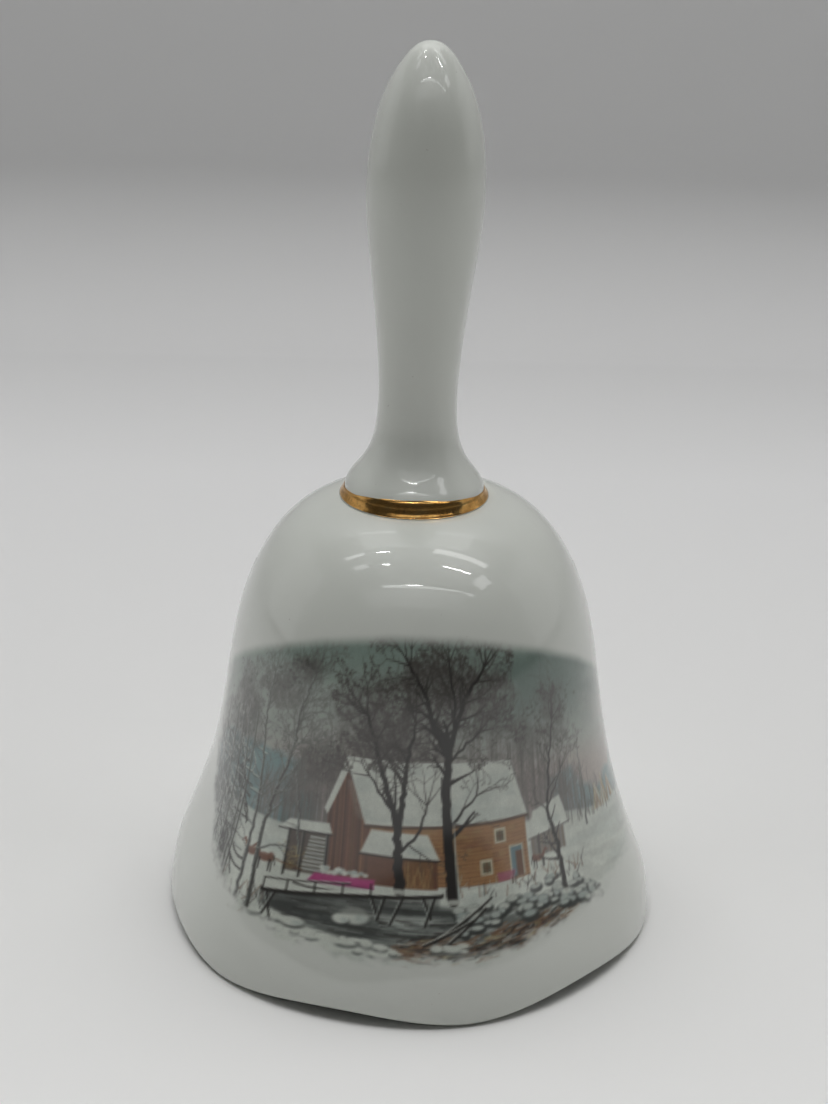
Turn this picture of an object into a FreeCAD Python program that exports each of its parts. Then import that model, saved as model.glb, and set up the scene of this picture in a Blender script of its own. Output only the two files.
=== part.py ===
"""A porcelain table bell: waved rim, hollow handle, gilt band, and a ball clapper on a brass chain.

Origin on the table under the middle of the bell, +Z up the handle, millimetres and degrees.
The side of the bell that carries the picture faces -Y.
"""

import FreeCAD, Part
import math
import os
import Sketcher
from FreeCAD import Placement, Rotation, Vector

SIZES = {
    # the shell: radii of its outer curve, from the rim up, and the heights that go with them
    "total_height": 140.0,
    "wall": 2.6,
    "rim_radius": 40.1,
    "lip_tuck": 0.3,
    "lip_height": 6.5,
    "flare_radius": 36.6,
    "flare_height": 13.5,
    "waist_radius": 32.2,
    "waist_height": 26.3,
    "side_radius": 29.7,
    "side_height": 41.9,
    "upper_radius": 27.8,
    "upper_height": 54.9,
    "shoulder_radius": 21.3,
    "shoulder_drop": 3.7,
    "brow_radius": 14.6,
    "brow_drop": 0.7,
    "crown_radius": 11.8,
    "crown_height": 71.2,
    "ceiling_radius": 8.0,
    "vent_radius": 3.2,
    # the waves under the rim
    "wave_count": 6.0,
    "wave_lift": 1.7,
    "foot_length": 5.0,
    "wave_turn": 14.4,
    # the joint between the shell and the handle, and the gilt cove above it
    "slip_thickness": 0.25,
    "slip_radius": 10.2,
    "slip_set_back": 0.8,
    "cove_base_radius": 11.65,
    "cove_top_radius": 10.8,
    "cove_height": 1.55,
    "cove_depth": 0.25,
    "gilding": 0.2,
    # the handle: radii of its outer curve, with heights above the cove or drops below the tip
    "handle_wall": 2.6,
    "handle_lean": 0.9,
    "handle_shift": 0.5,
    "tip_wall": 5.2,
    "bore_rise": 11.7,
    "foot_radius": 10.4,
    "foot_rise": 1.3,
    "ankle_radius": 8.5,
    "ankle_rise": 3.0,
    "neck_radius": 5.9,
    "neck_rise": 8.0,
    "stem_radius": 6.0,
    "stem_rise": 18.9,
    "grip_radius": 7.6,
    "grip_drop": 34.1,
    "swell_radius": 9.3,
    "swell_drop": 21.9,
    "taper_radius": 7.8,
    "taper_drop": 9.0,
    "nose_radius": 4.0,
    "nose_drop": 2.3,
    "tip_radius": 1.8,
    # the hanger and the cement that holds it
    "cement_height": 12.0,
    "cement_cap_radius": 5.0,
    "cement_cap_height": 1.2,
    "cement_cap_bulge": 0.6,
    "shank_grip": 8.0,
    "eye_radius": 1.6,
    "eye_drop": 4.4,
    # the chain
    "wire_radius": 0.5,
    "link_end_radius": 1.6,
    "link_straight": 3.2,
    "link_play": 0.05,
    "link_count": 6.0,
    # the clapper
    "ball_radius": 7.5,
    "ball_flat": 1.8,
    "bore_play": 0.05,
    "collar_radius": 1.2,
    "collar_height": 0.6,
    "pin_neck": 0.9,
    "rivet_radius": 1.3,
}


class Size:
    """A length that knows both its value and the sheet expression that gives it."""

    def __init__(self, value, text):
        self.value = value
        self.text = text

    def __add__(self, other):
        return joined(self, "+", other, self.value + as_size(other).value)

    def __sub__(self, other):
        return joined(self, "-", other, self.value - as_size(other).value)

    def __mul__(self, other):
        return joined(self, "*", other, self.value * as_size(other).value)

    def __truediv__(self, other):
        return joined(self, "/", other, self.value / as_size(other).value)

    def __neg__(self):
        return Size(-self.value, f"(0 - {self.text})")


def as_size(thing):
    return thing if isinstance(thing, Size) else Size(float(thing), str(float(thing)))


def joined(left, sign, right, value):
    return Size(value, f"({left.text} {sign} {as_size(right).text})")


def root(amount):
    return Size(math.sqrt(amount.value), f"sqrt({amount.text})")


def sine(angle):
    return Size(math.sin(math.radians(angle.value)), f"sin({angle.text})")


def cosine(angle):
    return Size(math.cos(math.radians(angle.value)), f"cos({angle.text})")


doc = FreeCAD.newDocument("PorcelainBell")
sheet = doc.addObject("Spreadsheet::Sheet", "Sizes")
for row, (alias, number) in enumerate(SIZES.items(), start=1):
    sheet.set(f"A{row}", alias)
    sheet.set(f"B{row}", str(number))
    sheet.setAlias(f"B{row}", alias)
doc.recompute()

size = {alias: Size(number, f"Sizes.{alias}") for alias, number in SIZES.items()}
ZERO = as_size(0)

# Radius of the hole in the luting slip, set back from the vent and the handle's bore
slip_bore = size["vent_radius"] + size["slip_set_back"]

# Heights up the bell
crown = size["crown_height"]
ceiling = crown - size["wall"]
handle_foot = crown + size["slip_thickness"]
cove_top = handle_foot + size["cove_height"]
tip = size["total_height"]

# Heights down the chain. Each link rests in the one above, with the play between their wires.
wire = size["wire_radius"]
nest = wire * 2 + size["link_play"]
half_link = size["link_straight"] / 2 + size["link_end_radius"]
link_pitch = half_link * 2 - nest
eye_centre = ceiling - size["eye_drop"]
eye_bottom = eye_centre - size["eye_radius"]
clapper_pivot = eye_bottom - link_pitch * size["link_count"]
clapper_eye = clapper_pivot + nest - size["eye_radius"]
ball_half_height = root(size["ball_radius"] * size["ball_radius"] - size["ball_flat"] * size["ball_flat"])
ball_top = clapper_eye - size["eye_radius"] - size["pin_neck"]
ball_centre = ball_top - ball_half_height
ball_bottom = ball_centre - ball_half_height


def bind(thing, property_name, amount):
    thing.setExpression(property_name, amount.text)


def vector(point):
    return Vector(point[0].value, point[1].value, 0)


def new_body(label):
    body = doc.addObject("PartDesign::Body", label)
    body.Label = label
    return body


def new_sketch(body, name, role="XZ_Plane"):
    sketch = body.newObject("Sketcher::SketchObject", name)
    plane = next(item for item in body.Origin.OriginFeatures if item.Role == role)
    sketch.AttachmentSupport = [(plane, "")]
    sketch.MapMode = "FlatFace"
    return sketch


# A profile is a closed run of edges. Each edge starts where the one before it ended, and is
# ("line", end), ("arc", end, bulge) or ("curve", pole, ..., end), a cubic spline on those poles.


def pin_distance(sketch, kind, geometry, position, amount):
    """Holds one point of the sketch at a distance from the origin, across or up."""
    held = sketch.addConstraint(
        Sketcher.Constraint(kind, -1, 1, geometry, position, amount.value)
    )
    bind(sketch, f"Constraints[{held}]", amount)


def pin_point(sketch, geometry, position, point):
    """Holds one point of the sketch at its distances from the two axes."""
    for kind, axis, amount in (("DistanceX", -2, point[0]), ("DistanceY", -1, point[1])):
        if amount is ZERO:
            sketch.addConstraint(Sketcher.Constraint("PointOnObject", geometry, position, axis))
        else:
            pin_distance(sketch, kind, geometry, position, amount)


def add_line(sketch, start, end):
    geometry = sketch.addGeometry(Part.LineSegment(vector(start), vector(end)), False)
    pin_point(sketch, geometry, 2, end)
    return geometry, 1, 2


def add_arc(sketch, start, end, bulge):
    """An arc that stands out by bulge to the right of the way from start to end, or left if negative."""
    across, up = end[0] - start[0], end[1] - start[1]
    chord = root(across * across + up * up)
    signed_radius = (chord * chord / 4 + bulge * bulge) / (bulge * 2)
    inward = (signed_radius - bulge) / chord
    centre = (
        (start[0] + end[0]) / 2 - up * inward,
        (start[1] + end[1]) / 2 + across * inward,
    )
    rightward = Vector(up.value, -across.value, 0) / chord.value
    top_of_arc = vector(centre) + rightward * signed_radius.value
    arc = Part.Arc(vector(start), top_of_arc, vector(end))
    geometry = sketch.addGeometry(arc, False)
    first = sketch.getPoint(geometry, 1)
    forward = first.distanceToPoint(vector(start)) < first.distanceToPoint(vector(end))
    positions = (1, 2) if forward else (2, 1)
    pin_point(sketch, geometry, positions[1], end)
    steep = abs(up.value) > abs(across.value)
    kind, amount = ("DistanceX", centre[0]) if steep else ("DistanceY", centre[1])
    pin_distance(sketch, kind, geometry, 3, amount)
    return geometry, *positions


def add_curve(sketch, start, *poles):
    curve = Part.BSplineCurve()
    curve.buildFromPoles([vector(point) for point in (start, *poles)], False, 3)
    geometry = sketch.addGeometry(curve, False)
    sketch.exposeInternalGeometry(geometry)
    for number, pole in enumerate(poles, start=2):
        pin_point(sketch, geometry + number, 3, pole)
    return geometry, 1, 2


def add_profile(sketch, start, edges):
    """Draws the closed profile; its last edge ends at start."""
    makers = {"line": add_line, "arc": add_arc, "curve": add_curve}
    point, drawn = start, []
    for kind, *ends in edges:
        drawn.append(makers[kind](sketch, point, *ends))
        point = ends[0] if kind == "arc" else ends[-1]
    for before, after in zip(drawn, drawn[1:] + drawn[:1]):
        sketch.addConstraint(
            Sketcher.Constraint("Coincident", before[0], before[2], after[0], after[1])
        )


def revolved(label, start, edges):
    """A body turned about the bell's axis from a profile of (radius, height) points."""
    body = new_body(label)
    sketch = new_sketch(body, f"{label}_profile")
    add_profile(sketch, start, edges)
    turned = body.newObject("PartDesign::Revolution", f"{label}_turned")
    turned.Profile = sketch
    turned.ReferenceAxis = (sketch, ["V_Axis"])
    turned.Angle = 360
    body.Tip = turned
    return body


def make_bell_shell():
    """The open bell: an even wall from the rim to the flat crown, with the vent in its middle."""
    wall = size["wall"]
    outer = [
        (size["rim_radius"] - size["lip_tuck"], size["lip_height"]),
        (size["flare_radius"], size["flare_height"]),
        (size["waist_radius"], size["waist_height"]),
        (size["side_radius"], size["side_height"]),
        (size["upper_radius"], size["upper_height"]),
        (size["shoulder_radius"], crown - size["shoulder_drop"]),
        (size["brow_radius"], crown - size["brow_drop"]),
        (size["crown_radius"], crown),
    ]
    side = [(radius - wall, height) for radius, height in outer[:5]]
    shoulder = (size["shoulder_radius"] - wall, crown - size["shoulder_drop"] - wall)
    brow = (size["brow_radius"] - wall / 2, ceiling - size["brow_drop"])
    ceiling_edge = (size["ceiling_radius"], ceiling)
    vent = size["vent_radius"]
    body = revolved(
        "bell_shell",
        (vent, ceiling),
        [
            ("line", ceiling_edge),
            ("curve", brow, shoulder, *reversed(side), (size["rim_radius"] - wall, ZERO)),
            ("line", (size["rim_radius"], ZERO)),
            ("curve", *outer),
            ("line", (vent, crown)),
            ("line", (vent, ceiling)),
        ],
    )
    cut_waves(body)
    return body


def primitive(kind, name, height, **sizes):
    """A Part primitive standing at a height on the bell's axis."""
    solid = doc.addObject(kind, name)
    for property_name, amount in sizes.items():
        bind(solid, property_name, amount)
    bind(solid, "Placement.Base.z", height)
    return solid


def cut(label, body, tool):
    """What is left of one object when another is taken away from it."""
    made = doc.addObject("Part::Cut", label)
    made.Label = label
    made.Base = body
    made.Tool = tool
    return made


def cut_waves(body):
    """Lifts the rim between its feet: one long shallow arch cut outward, repeated round the bell."""
    lift = size["wave_lift"]
    half_pitch = sine(as_size(180) / size["wave_count"]) * size["rim_radius"]
    half_arch = half_pitch - size["foot_length"] / 2
    arch_radius = (half_arch * half_arch + lift * lift) / (lift * 2)
    sketch = new_sketch(body, "wave_arch", "YZ_Plane")
    centre = (ZERO, lift - arch_radius)
    circle = Part.Circle(vector(centre), Vector(0, 0, 1), arch_radius.value)
    geometry = sketch.addGeometry(circle, False)
    pin_point(sketch, geometry, 3, centre)
    held = sketch.addConstraint(Sketcher.Constraint("Radius", geometry, arch_radius.value))
    bind(sketch, f"Constraints[{held}]", arch_radius)
    doc.recompute()
    arch = body.newObject("PartDesign::Pocket", "wave")
    arch.Profile = sketch
    arch.Reversed = True
    bind(arch, "Length", size["rim_radius"] + size["wall"])
    axis = next(item for item in body.Origin.OriginFeatures if item.Role == "Z_Axis")
    waves = body.newObject("PartDesign::PolarPattern", "waves")
    waves.Originals = [arch]
    waves.Axis = (axis, [""])
    waves.Angle = 360
    bind(waves, "Occurrences", size["wave_count"])
    body.Tip = waves
    body.Placement = Placement(Vector(), Rotation(Vector(0, 0, 1), 0))
    bind(body, "Placement.Rotation.Angle", size["wave_turn"])


def lean(body):
    """Sets a body a little off the axis to -X, and tips it back to +X about the middle of its foot."""
    angle = size["handle_lean"]
    body.Placement = Placement(Vector(), Rotation(Vector(0, 1, 0), angle.value))
    bind(body, "Placement.Rotation.Angle", angle)
    bind(body, "Placement.Base.x", -size["handle_shift"] - handle_foot * sine(angle))
    bind(body, "Placement.Base.z", handle_foot - handle_foot * cosine(angle))
    return body


def cove_arc(bulge):
    return ("arc", (size["cove_top_radius"], cove_top), bulge)


def make_handle():
    """The hollow grip, from its coved foot up to the rounded tip."""
    vent, wall = size["vent_radius"], size["handle_wall"]
    body = revolved(
        "handle",
        (vent, handle_foot),
        [
            ("line", (size["cove_base_radius"], handle_foot)),
            cove_arc(-size["cove_depth"]),
            (
                "curve",
                (size["foot_radius"], cove_top + size["foot_rise"]),
                (size["ankle_radius"], cove_top + size["ankle_rise"]),
                (size["neck_radius"], cove_top + size["neck_rise"]),
                (size["stem_radius"], cove_top + size["stem_rise"]),
                (size["grip_radius"], tip - size["grip_drop"]),
                (size["swell_radius"], tip - size["swell_drop"]),
                (size["taper_radius"], tip - size["taper_drop"]),
                (size["nose_radius"], tip - size["nose_drop"]),
                (size["tip_radius"], tip),
                (ZERO, tip),
            ),
            ("line", (ZERO, tip - size["tip_wall"])),
            (
                "curve",
                (size["taper_radius"] - wall, tip - size["tip_wall"]),
                (size["swell_radius"] - wall, tip - size["swell_drop"]),
                (size["grip_radius"] - wall, tip - size["grip_drop"]),
                (vent, cove_top + size["stem_rise"]),
                (vent, cove_top + size["bore_rise"]),
            ),
            ("line", (vent, handle_foot)),
        ],
    )
    return lean(body)


def make_luting_slip(handle):
    """The ring of fired slip between crown and handle, thicker on the side that the handle leans from."""
    wedge = size["slip_radius"] * sine(size["handle_lean"])
    depth = size["slip_thickness"] + wedge
    disc = primitive("Part::Cylinder", "slip_disc", crown, Radius=size["slip_radius"], Height=depth)
    hole = primitive("Part::Cylinder", "slip_hole", crown, Radius=slip_bore, Height=depth)
    ring = cut("slip_ring", disc, hole)
    return cut("luting_slip", ring, handle)


def make_gold_band():
    """The gilding in the cove, a crescent that thins to nothing at both edges."""
    base = (size["cove_base_radius"], handle_foot)
    back = ("arc", base, size["cove_depth"])
    outside = cove_arc(size["gilding"] - size["cove_depth"])
    return lean(revolved("gold_band", base, [outside, back]))


def make_anchor_cement(handle):
    """The plug that fills the vent and the handle's bore, with a low cap under the ceiling."""
    vent = size["vent_radius"]
    top = ceiling + size["cement_height"]
    shank_top = ceiling + size["shank_grip"]
    start = (wire, ceiling - size["cement_cap_height"])
    plug = revolved(
        "cement_plug",
        start,
        [
            ("arc", (size["cement_cap_radius"], ceiling), size["cement_cap_bulge"]),
            ("line", (vent, ceiling)),
            ("line", (vent, crown)),
            ("line", (slip_bore, crown)),
            ("line", (slip_bore, top)),
            ("line", (ZERO, top)),
            ("line", (ZERO, shank_top)),
            ("line", (wire, shank_top)),
            ("line", start),
        ],
    )
    return cut("anchor_cement", plug, handle)


def wire_ring(name, centre, across_x):
    """A ring of wire that stands upright, across X or across Y."""
    ring = primitive("Part::Torus", name, centre, Radius1=size["eye_radius"], Radius2=wire)
    upright = Rotation(Vector(1, 0, 0), 90)
    turn = Rotation(Vector(0, 0, 1), 0 if across_x else 90)
    ring.Placement = Placement(Vector(0, 0, centre.value), turn * upright)
    return ring


def fused(label, pieces):
    body = doc.addObject("Part::MultiFuse", label)
    body.Label = label
    body.Shapes = pieces
    return body


def make_hanger_eye():
    """The wire eye across Y, whose shank is set in the cement."""
    ring = wire_ring("hanger_ring", eye_centre, across_x=False)
    shank_foot = eye_centre + size["eye_radius"]
    shank_length = ceiling + size["shank_grip"] - shank_foot
    shank = primitive("Part::Cylinder", "hanger_shank", shank_foot, Radius=wire, Height=shank_length)
    return fused("hanger_eye", [ring, shank])


def make_chain_link(number):
    """One oval link; odd links lie across X and even ones across Y."""
    body = new_body(f"chain_link_{number}")
    across, straight = size["link_end_radius"], size["link_straight"] / 2
    loop = new_sketch(body, f"link_loop_{number}")
    middle = (across, ZERO)
    add_profile(
        loop,
        middle,
        [
            ("line", (across, straight)),
            ("arc", (-across, straight), across),
            ("line", (-across, -straight)),
            ("arc", (across, -straight), across),
            ("line", middle),
        ],
    )
    section = new_sketch(body, f"link_wire_{number}", "XY_Plane")
    circle = Part.Circle(vector(middle), Vector(0, 0, 1), wire.value)
    geometry = section.addGeometry(circle, False)
    pin_point(section, geometry, 3, middle)
    held = section.addConstraint(Sketcher.Constraint("Radius", geometry, wire.value))
    bind(section, f"Constraints[{held}]", wire)
    doc.recompute()
    bent = body.newObject("PartDesign::AdditivePipe", f"link_bent_{number}")
    bent.Profile = section
    bent.Spine = (loop, [f"Edge{edge}" for edge in range(1, 6)])
    body.Tip = bent
    centre = eye_bottom - link_pitch * number + half_link
    quarter_turns = (number + 1) % 2
    body.Placement = Placement(Vector(0, 0, centre.value), Rotation(Vector(0, 0, 1), 90 * quarter_turns))
    bind(body, "Placement.Base.z", centre)
    return body


def make_clapper_ball():
    """The porcelain ball, with a small flat round each end of its bore."""
    bore, flat = wire + size["bore_play"], size["ball_flat"]
    start = (bore, ball_bottom)
    return revolved(
        "clapper_ball",
        start,
        [
            ("line", (flat, ball_bottom)),
            ("arc", (flat, ball_top), size["ball_radius"] - flat),
            ("line", (bore, ball_top)),
            ("line", start),
        ],
    )


def make_clapper_pin():
    """The eye pin through the ball: eye, collar on the ball, shank, and rivet head below."""
    ring = wire_ring("pin_ring", clapper_eye, across_x=True)
    length = clapper_eye - size["eye_radius"] - ball_bottom
    shank = primitive("Part::Cylinder", "pin_shank", ball_bottom, Radius=wire, Height=length)
    collar = primitive(
        "Part::Cylinder",
        "pin_collar",
        ball_top,
        Radius=size["collar_radius"],
        Height=size["collar_height"],
    )
    rivet = primitive("Part::Sphere", "pin_rivet", ball_bottom, Radius=size["rivet_radius"])
    rivet.Angle2 = 0
    return fused("clapper_pin", [ring, shank, collar, rivet])


def check(pieces):
    """Stops the build if any object failed, or a piece is not one valid solid."""
    for item in doc.Objects:
        if "Invalid" in item.State or "Error" in item.State:
            raise RuntimeError(f"{item.Label} did not build: {item.State}")
    for piece in pieces:
        shape = piece.Shape
        if shape.isNull() or not shape.isValid() or len(shape.Solids) != 1:
            raise RuntimeError(f"{piece.Label} is not one valid solid")


handle = make_handle()
pieces = [
    make_bell_shell(),
    make_luting_slip(handle),
    handle,
    make_gold_band(),
    make_anchor_cement(handle),
    make_hanger_eye(),
    *[make_chain_link(number) for number in range(1, int(size["link_count"].value) + 1)],
    make_clapper_ball(),
    make_clapper_pin(),
]
doc.recompute()
check(pieces)

os.makedirs("parts", exist_ok=True)
for piece in pieces:
    piece.Shape.exportStep(f"parts/{piece.Label}.step")
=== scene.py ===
"""The looks of a porcelain table bell: glazed shell with a printed scene, gilt band, brass chain."""

import math

import bpy
import numpy as np
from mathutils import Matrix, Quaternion, Vector


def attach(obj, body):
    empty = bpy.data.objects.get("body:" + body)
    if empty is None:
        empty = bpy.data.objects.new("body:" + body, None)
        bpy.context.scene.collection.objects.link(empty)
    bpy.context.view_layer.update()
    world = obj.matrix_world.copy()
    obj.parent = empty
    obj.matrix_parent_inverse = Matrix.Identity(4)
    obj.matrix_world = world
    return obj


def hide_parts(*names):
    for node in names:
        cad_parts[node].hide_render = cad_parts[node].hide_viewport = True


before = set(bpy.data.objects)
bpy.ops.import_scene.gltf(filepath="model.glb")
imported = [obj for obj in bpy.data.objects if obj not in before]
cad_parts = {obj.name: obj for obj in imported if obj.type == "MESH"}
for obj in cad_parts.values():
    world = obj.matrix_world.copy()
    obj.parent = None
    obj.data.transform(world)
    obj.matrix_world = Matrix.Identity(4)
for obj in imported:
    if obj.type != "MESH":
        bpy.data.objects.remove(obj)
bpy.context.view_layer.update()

MM = 0.001


# ---------------------------------------------------------------- meshes and curves

def new_object(name, vertices, faces):
    """A smooth mesh object. Vertices are in metres."""
    mesh = bpy.data.meshes.new(name)
    mesh.from_pydata([tuple(vertex) for vertex in vertices], [], [tuple(face) for face in faces])
    mesh.update()
    mesh.shade_smooth()
    made = bpy.data.objects.new(name, mesh)
    bpy.context.collection.objects.link(made)
    return made


def spline(poles, count=1200):
    """Points along the clamped cubic spline on these poles, from the first to the last."""
    poles = np.array(poles, float)
    spans = len(poles) - 3
    knots = np.concatenate([[0, 0, 0], np.arange(spans + 1), [spans] * 3]).astype(float)
    places = np.linspace(0, spans, count)
    points = np.empty((count, 2))
    for row, place in enumerate(places):
        span = min(int(place), spans - 1) + 3
        local = poles[span - 3:span + 1].copy()
        for level in range(1, 4):
            for index in range(3, level - 1, -1):
                knot = span - 3 + index
                width = knots[knot + 4 - level] - knots[knot]
                share = (place - knots[knot]) / width
                local[index] = (1 - share) * local[index - 1] + share * local[index]
        points[row] = local[3]
    return points


def run_length(points):
    steps = np.linalg.norm(np.diff(points, axis=0), axis=1)
    return np.concatenate([[0], np.cumsum(steps)])


def evenly(points, spacing):
    """The same line with a point about every spacing along it."""
    length = run_length(points)
    count = max(2, int(round(length[-1] / spacing)) + 1)
    at = np.linspace(0, length[-1], count)
    return np.stack([np.interp(at, length, points[:, axis]) for axis in range(2)], axis=1)


def arc_points(centre, radius, start, end, count):
    """Points round an arc, from one angle to another in degrees."""
    angles = np.radians(np.linspace(start, end, count))
    return np.stack([centre[0] + radius * np.cos(angles), centre[1] + radius * np.sin(angles)], axis=1)


def lathe(name, profile, columns, placed):
    """Turns a profile of (radius, height) points in millimetres about the bell's axis."""
    profile = np.array(profile, float)
    on_axis = profile[:, 0] < 1e-6
    angles = np.linspace(0, 2 * math.pi, columns, endpoint=False)
    vertices, rings = [], []
    for (radius, height), single in zip(profile, on_axis):
        ring = angles[:1] if single else angles
        first = len(vertices)
        vertices += [placed((radius * math.cos(a), radius * math.sin(a), height)) for a in ring]
        rings.append([first] * columns if single else list(range(first, first + columns)))
    faces = []
    closed = not (on_axis[0] and on_axis[-1])
    pairs = list(zip(rings, rings[1:])) + ([(rings[-1], rings[0])] if closed else [])
    for lower, upper in pairs:
        for here in range(columns):
            there = (here + 1) % columns
            corners = [lower[here], lower[there], upper[there], upper[here]]
            face = [c for i, c in enumerate(corners) if c != corners[i - 1]]
            if len(face) > 2:
                faces.append(face)
    return new_object(name, np.array(vertices) * MM, faces)


# ---------------------------------------------------------------- materials

class Look:
    """A new material, with short ways to add and join nodes."""

    def __init__(self, name):
        self.material = bpy.data.materials.new(name)
        self.material.use_nodes = True
        self.nodes = self.material.node_tree.nodes
        self.links = self.material.node_tree.links
        self.shader = self.nodes["Principled BSDF"]

    def set(self, **values):
        for name, value in values.items():
            self.shader.inputs[name.replace("_", " ")].default_value = value

    def node(self, kind, **values):
        made = self.nodes.new(kind)
        for name, value in values.items():
            if name in made.inputs:
                made.inputs[name].default_value = value
            else:
                setattr(made, name, value)
        return made

    def join(self, source, target):
        self.links.new(source, target)

    def noise(self, scale, detail=3.0, stretch=(1, 1, 1)):
        """Noise in the object's own metres, stretched along its axes."""
        place = self.node("ShaderNodeTexCoord")
        mapping = self.node("ShaderNodeMapping")
        mapping.inputs["Scale"].default_value = stretch
        noise = self.node("ShaderNodeTexNoise", Scale=scale, Detail=detail)
        self.join(place.outputs["Object"], mapping.inputs["Vector"])
        self.join(mapping.outputs["Vector"], noise.inputs["Vector"])
        return noise.outputs["Fac"]

    def ramp(self, value, *stops):
        """A colour ramp through (place, colour) stops."""
        ramp = self.node("ShaderNodeValToRGB")
        elements = ramp.color_ramp.elements
        while len(elements) < len(stops):
            elements.new(0.5)
        for element, (place, colour) in zip(elements, stops):
            element.position = place
            element.color = (*colour, 1)
        self.join(value, ramp.inputs["Fac"])
        return ramp.outputs["Color"]

    def level(self, value, low, high, low_result, high_result):
        """Maps a value from one range to another."""
        level = self.node("ShaderNodeMapRange")
        ends = ("From Min", "From Max", "To Min", "To Max")
        for name, number in zip(ends, (low, high, low_result, high_result)):
            level.inputs[name].default_value = number
        self.join(value, level.inputs["Value"])
        return level.outputs["Result"]

    def mix(self, share, first, second):
        mix = self.node("ShaderNodeMix", data_type="RGBA")
        colours = [socket for socket in mix.inputs if socket.type == "RGBA"]
        result = next(socket for socket in mix.outputs if socket.type == "RGBA")
        self.join(share, mix.inputs["Factor"])
        for source, socket in zip((first, second), colours):
            if isinstance(source, tuple):
                socket.default_value = (*source, 1)
            else:
                self.join(source, socket)
        return result

    def bump(self, height, distance, strength=1.0, under=None):
        bump = self.node("ShaderNodeBump", Strength=strength, Distance=distance)
        self.join(height, bump.inputs["Height"])
        if under:
            self.join(under, bump.inputs["Normal"])
        self.join(bump.outputs["Normal"], self.shader.inputs["Normal"])
        return bump.outputs["Normal"]


def porcelain(name, colour, shade, picture=None):
    """White glazed porcelain; picture is the colour attribute that carries the print, if it has one."""
    look = Look(name)
    look.set(Roughness=0.38, IOR=1.5, Coat_Weight=1.0, Coat_Roughness=0.03, Coat_IOR=1.52)
    body = look.ramp(look.noise(38, 4.0), (0.3, shade), (0.7, colour))
    specks = look.level(look.noise(1400, 1.0), 0.79, 0.84, 0.0, 0.35)
    body = look.mix(specks, body, (0.30, 0.27, 0.23))
    if picture:
        read = look.node("ShaderNodeVertexColor", layer_name=picture)
        grain = look.level(look.noise(5200, 2.0), 0.25, 0.75, 0.93, 1.07)
        printed = look.node("ShaderNodeMix", data_type="RGBA", blend_type="MULTIPLY")
        colours = [socket for socket in printed.inputs if socket.type == "RGBA"]
        printed.inputs["Factor"].default_value = 1.0
        look.join(read.outputs["Color"], colours[0])
        look.join(grain, colours[1])
        result = next(socket for socket in printed.outputs if socket.type == "RGBA")
        body = look.mix(read.outputs["Alpha"], body, result)
    look.join(body, look.shader.inputs["Base Color"])
    swell = look.bump(look.noise(95, 2.0), 0.00004, 0.5)
    look.bump(look.noise(900, 2.0), 0.0000025, 0.5, swell)
    return look.material


def gold_lustre():
    """Burnished gold with fine scratches that run up and round it, and thin worn patches."""
    look = Look("gold_lustre")
    look.set(Metallic=1.0)
    worn = look.noise(420, 4.0, (1, 1, 2.5))
    tint = look.ramp(
        worn, (0.30, (0.50, 0.26, 0.07)), (0.52, (0.82, 0.46, 0.14)), (0.75, (0.96, 0.65, 0.26))
    )
    scratches = look.noise(2600, 3.0, (1, 1, 0.12))
    marks = look.level(scratches, 0.60, 0.68, 0.0, 0.55)
    look.join(look.mix(marks, tint, (0.30, 0.15, 0.05)), look.shader.inputs["Base Color"])
    look.join(look.level(worn, 0.3, 0.75, 0.26, 0.10), look.shader.inputs["Roughness"])
    across = look.bump(scratches, 0.000012, 0.6)
    look.bump(look.noise(300, 3.0), 0.00006, 0.5, across)
    return look.material


def brass():
    """Drawn brass wire, a little tarnished in places."""
    look = Look("brass_wire")
    look.set(Metallic=1.0)
    tarnish = look.noise(300, 5.0)
    tint = look.ramp(
        tarnish, (0.32, (0.30, 0.17, 0.06)), (0.5, (0.66, 0.44, 0.16)), (0.8, (0.84, 0.62, 0.28))
    )
    look.join(tint, look.shader.inputs["Base Color"])
    look.join(look.level(tarnish, 0.3, 0.7, 0.45, 0.2), look.shader.inputs["Roughness"])
    look.bump(look.noise(1800, 3.0, (1, 1, 0.3)), 0.00001, 0.5)
    return look.material


def matt(name, colour, shade, grain, depth):
    """A dry fired or set surface: two close colours, dusty and finely rough."""
    look = Look(name)
    look.set(Roughness=0.85, IOR=1.45)
    clouds = look.noise(160, 5.0)
    tint = look.ramp(clouds, (0.3, shade), (0.7, colour))
    pores = look.level(look.noise(grain * 0.8, 2.0), 0.66, 0.74, 0.0, 0.6)
    dark = tuple(part * 0.5 for part in shade)
    look.join(look.mix(pores, tint, dark), look.shader.inputs["Base Color"])
    look.bump(look.noise(grain, 4.0), depth, 0.8)
    return look.material


# ---------------------------------------------------------------- the shell

# Radius and height in mm of the poles of the outer curve, and the wall, as the solid has them
CROWN = 71.2
WALL = 2.6
CEILING = CROWN - WALL
SIDE = [(40.1, 0.0), (39.8, 6.5), (36.6, 13.5), (32.2, 26.3), (29.7, 41.9), (27.8, 54.9)]
SHOULDER = 21.3, 3.7  # radius, and depth below the crown
BROW = 14.6, 0.7
CROWN_RADIUS = 11.8
CEILING_RADIUS = 8.0
SHELL_OUTER = [
    *SIDE, (SHOULDER[0], CROWN - SHOULDER[1]), (BROW[0], CROWN - BROW[1]), (CROWN_RADIUS, CROWN),
]
SHELL_INNER = [
    *[(radius - WALL, height) for radius, height in SIDE],
    (SHOULDER[0] - WALL, CROWN - SHOULDER[1] - WALL), (BROW[0] - WALL / 2, CEILING - BROW[1]),
    (CEILING_RADIUS, CEILING),
]
VENT = 3.2
WAVES = 6
WAVE_LIFT = 1.7
WAVE_SHARPNESS = 1.7
WAVE_TURN = math.radians(14.4)
WAVE_REACH = 18.0
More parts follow.
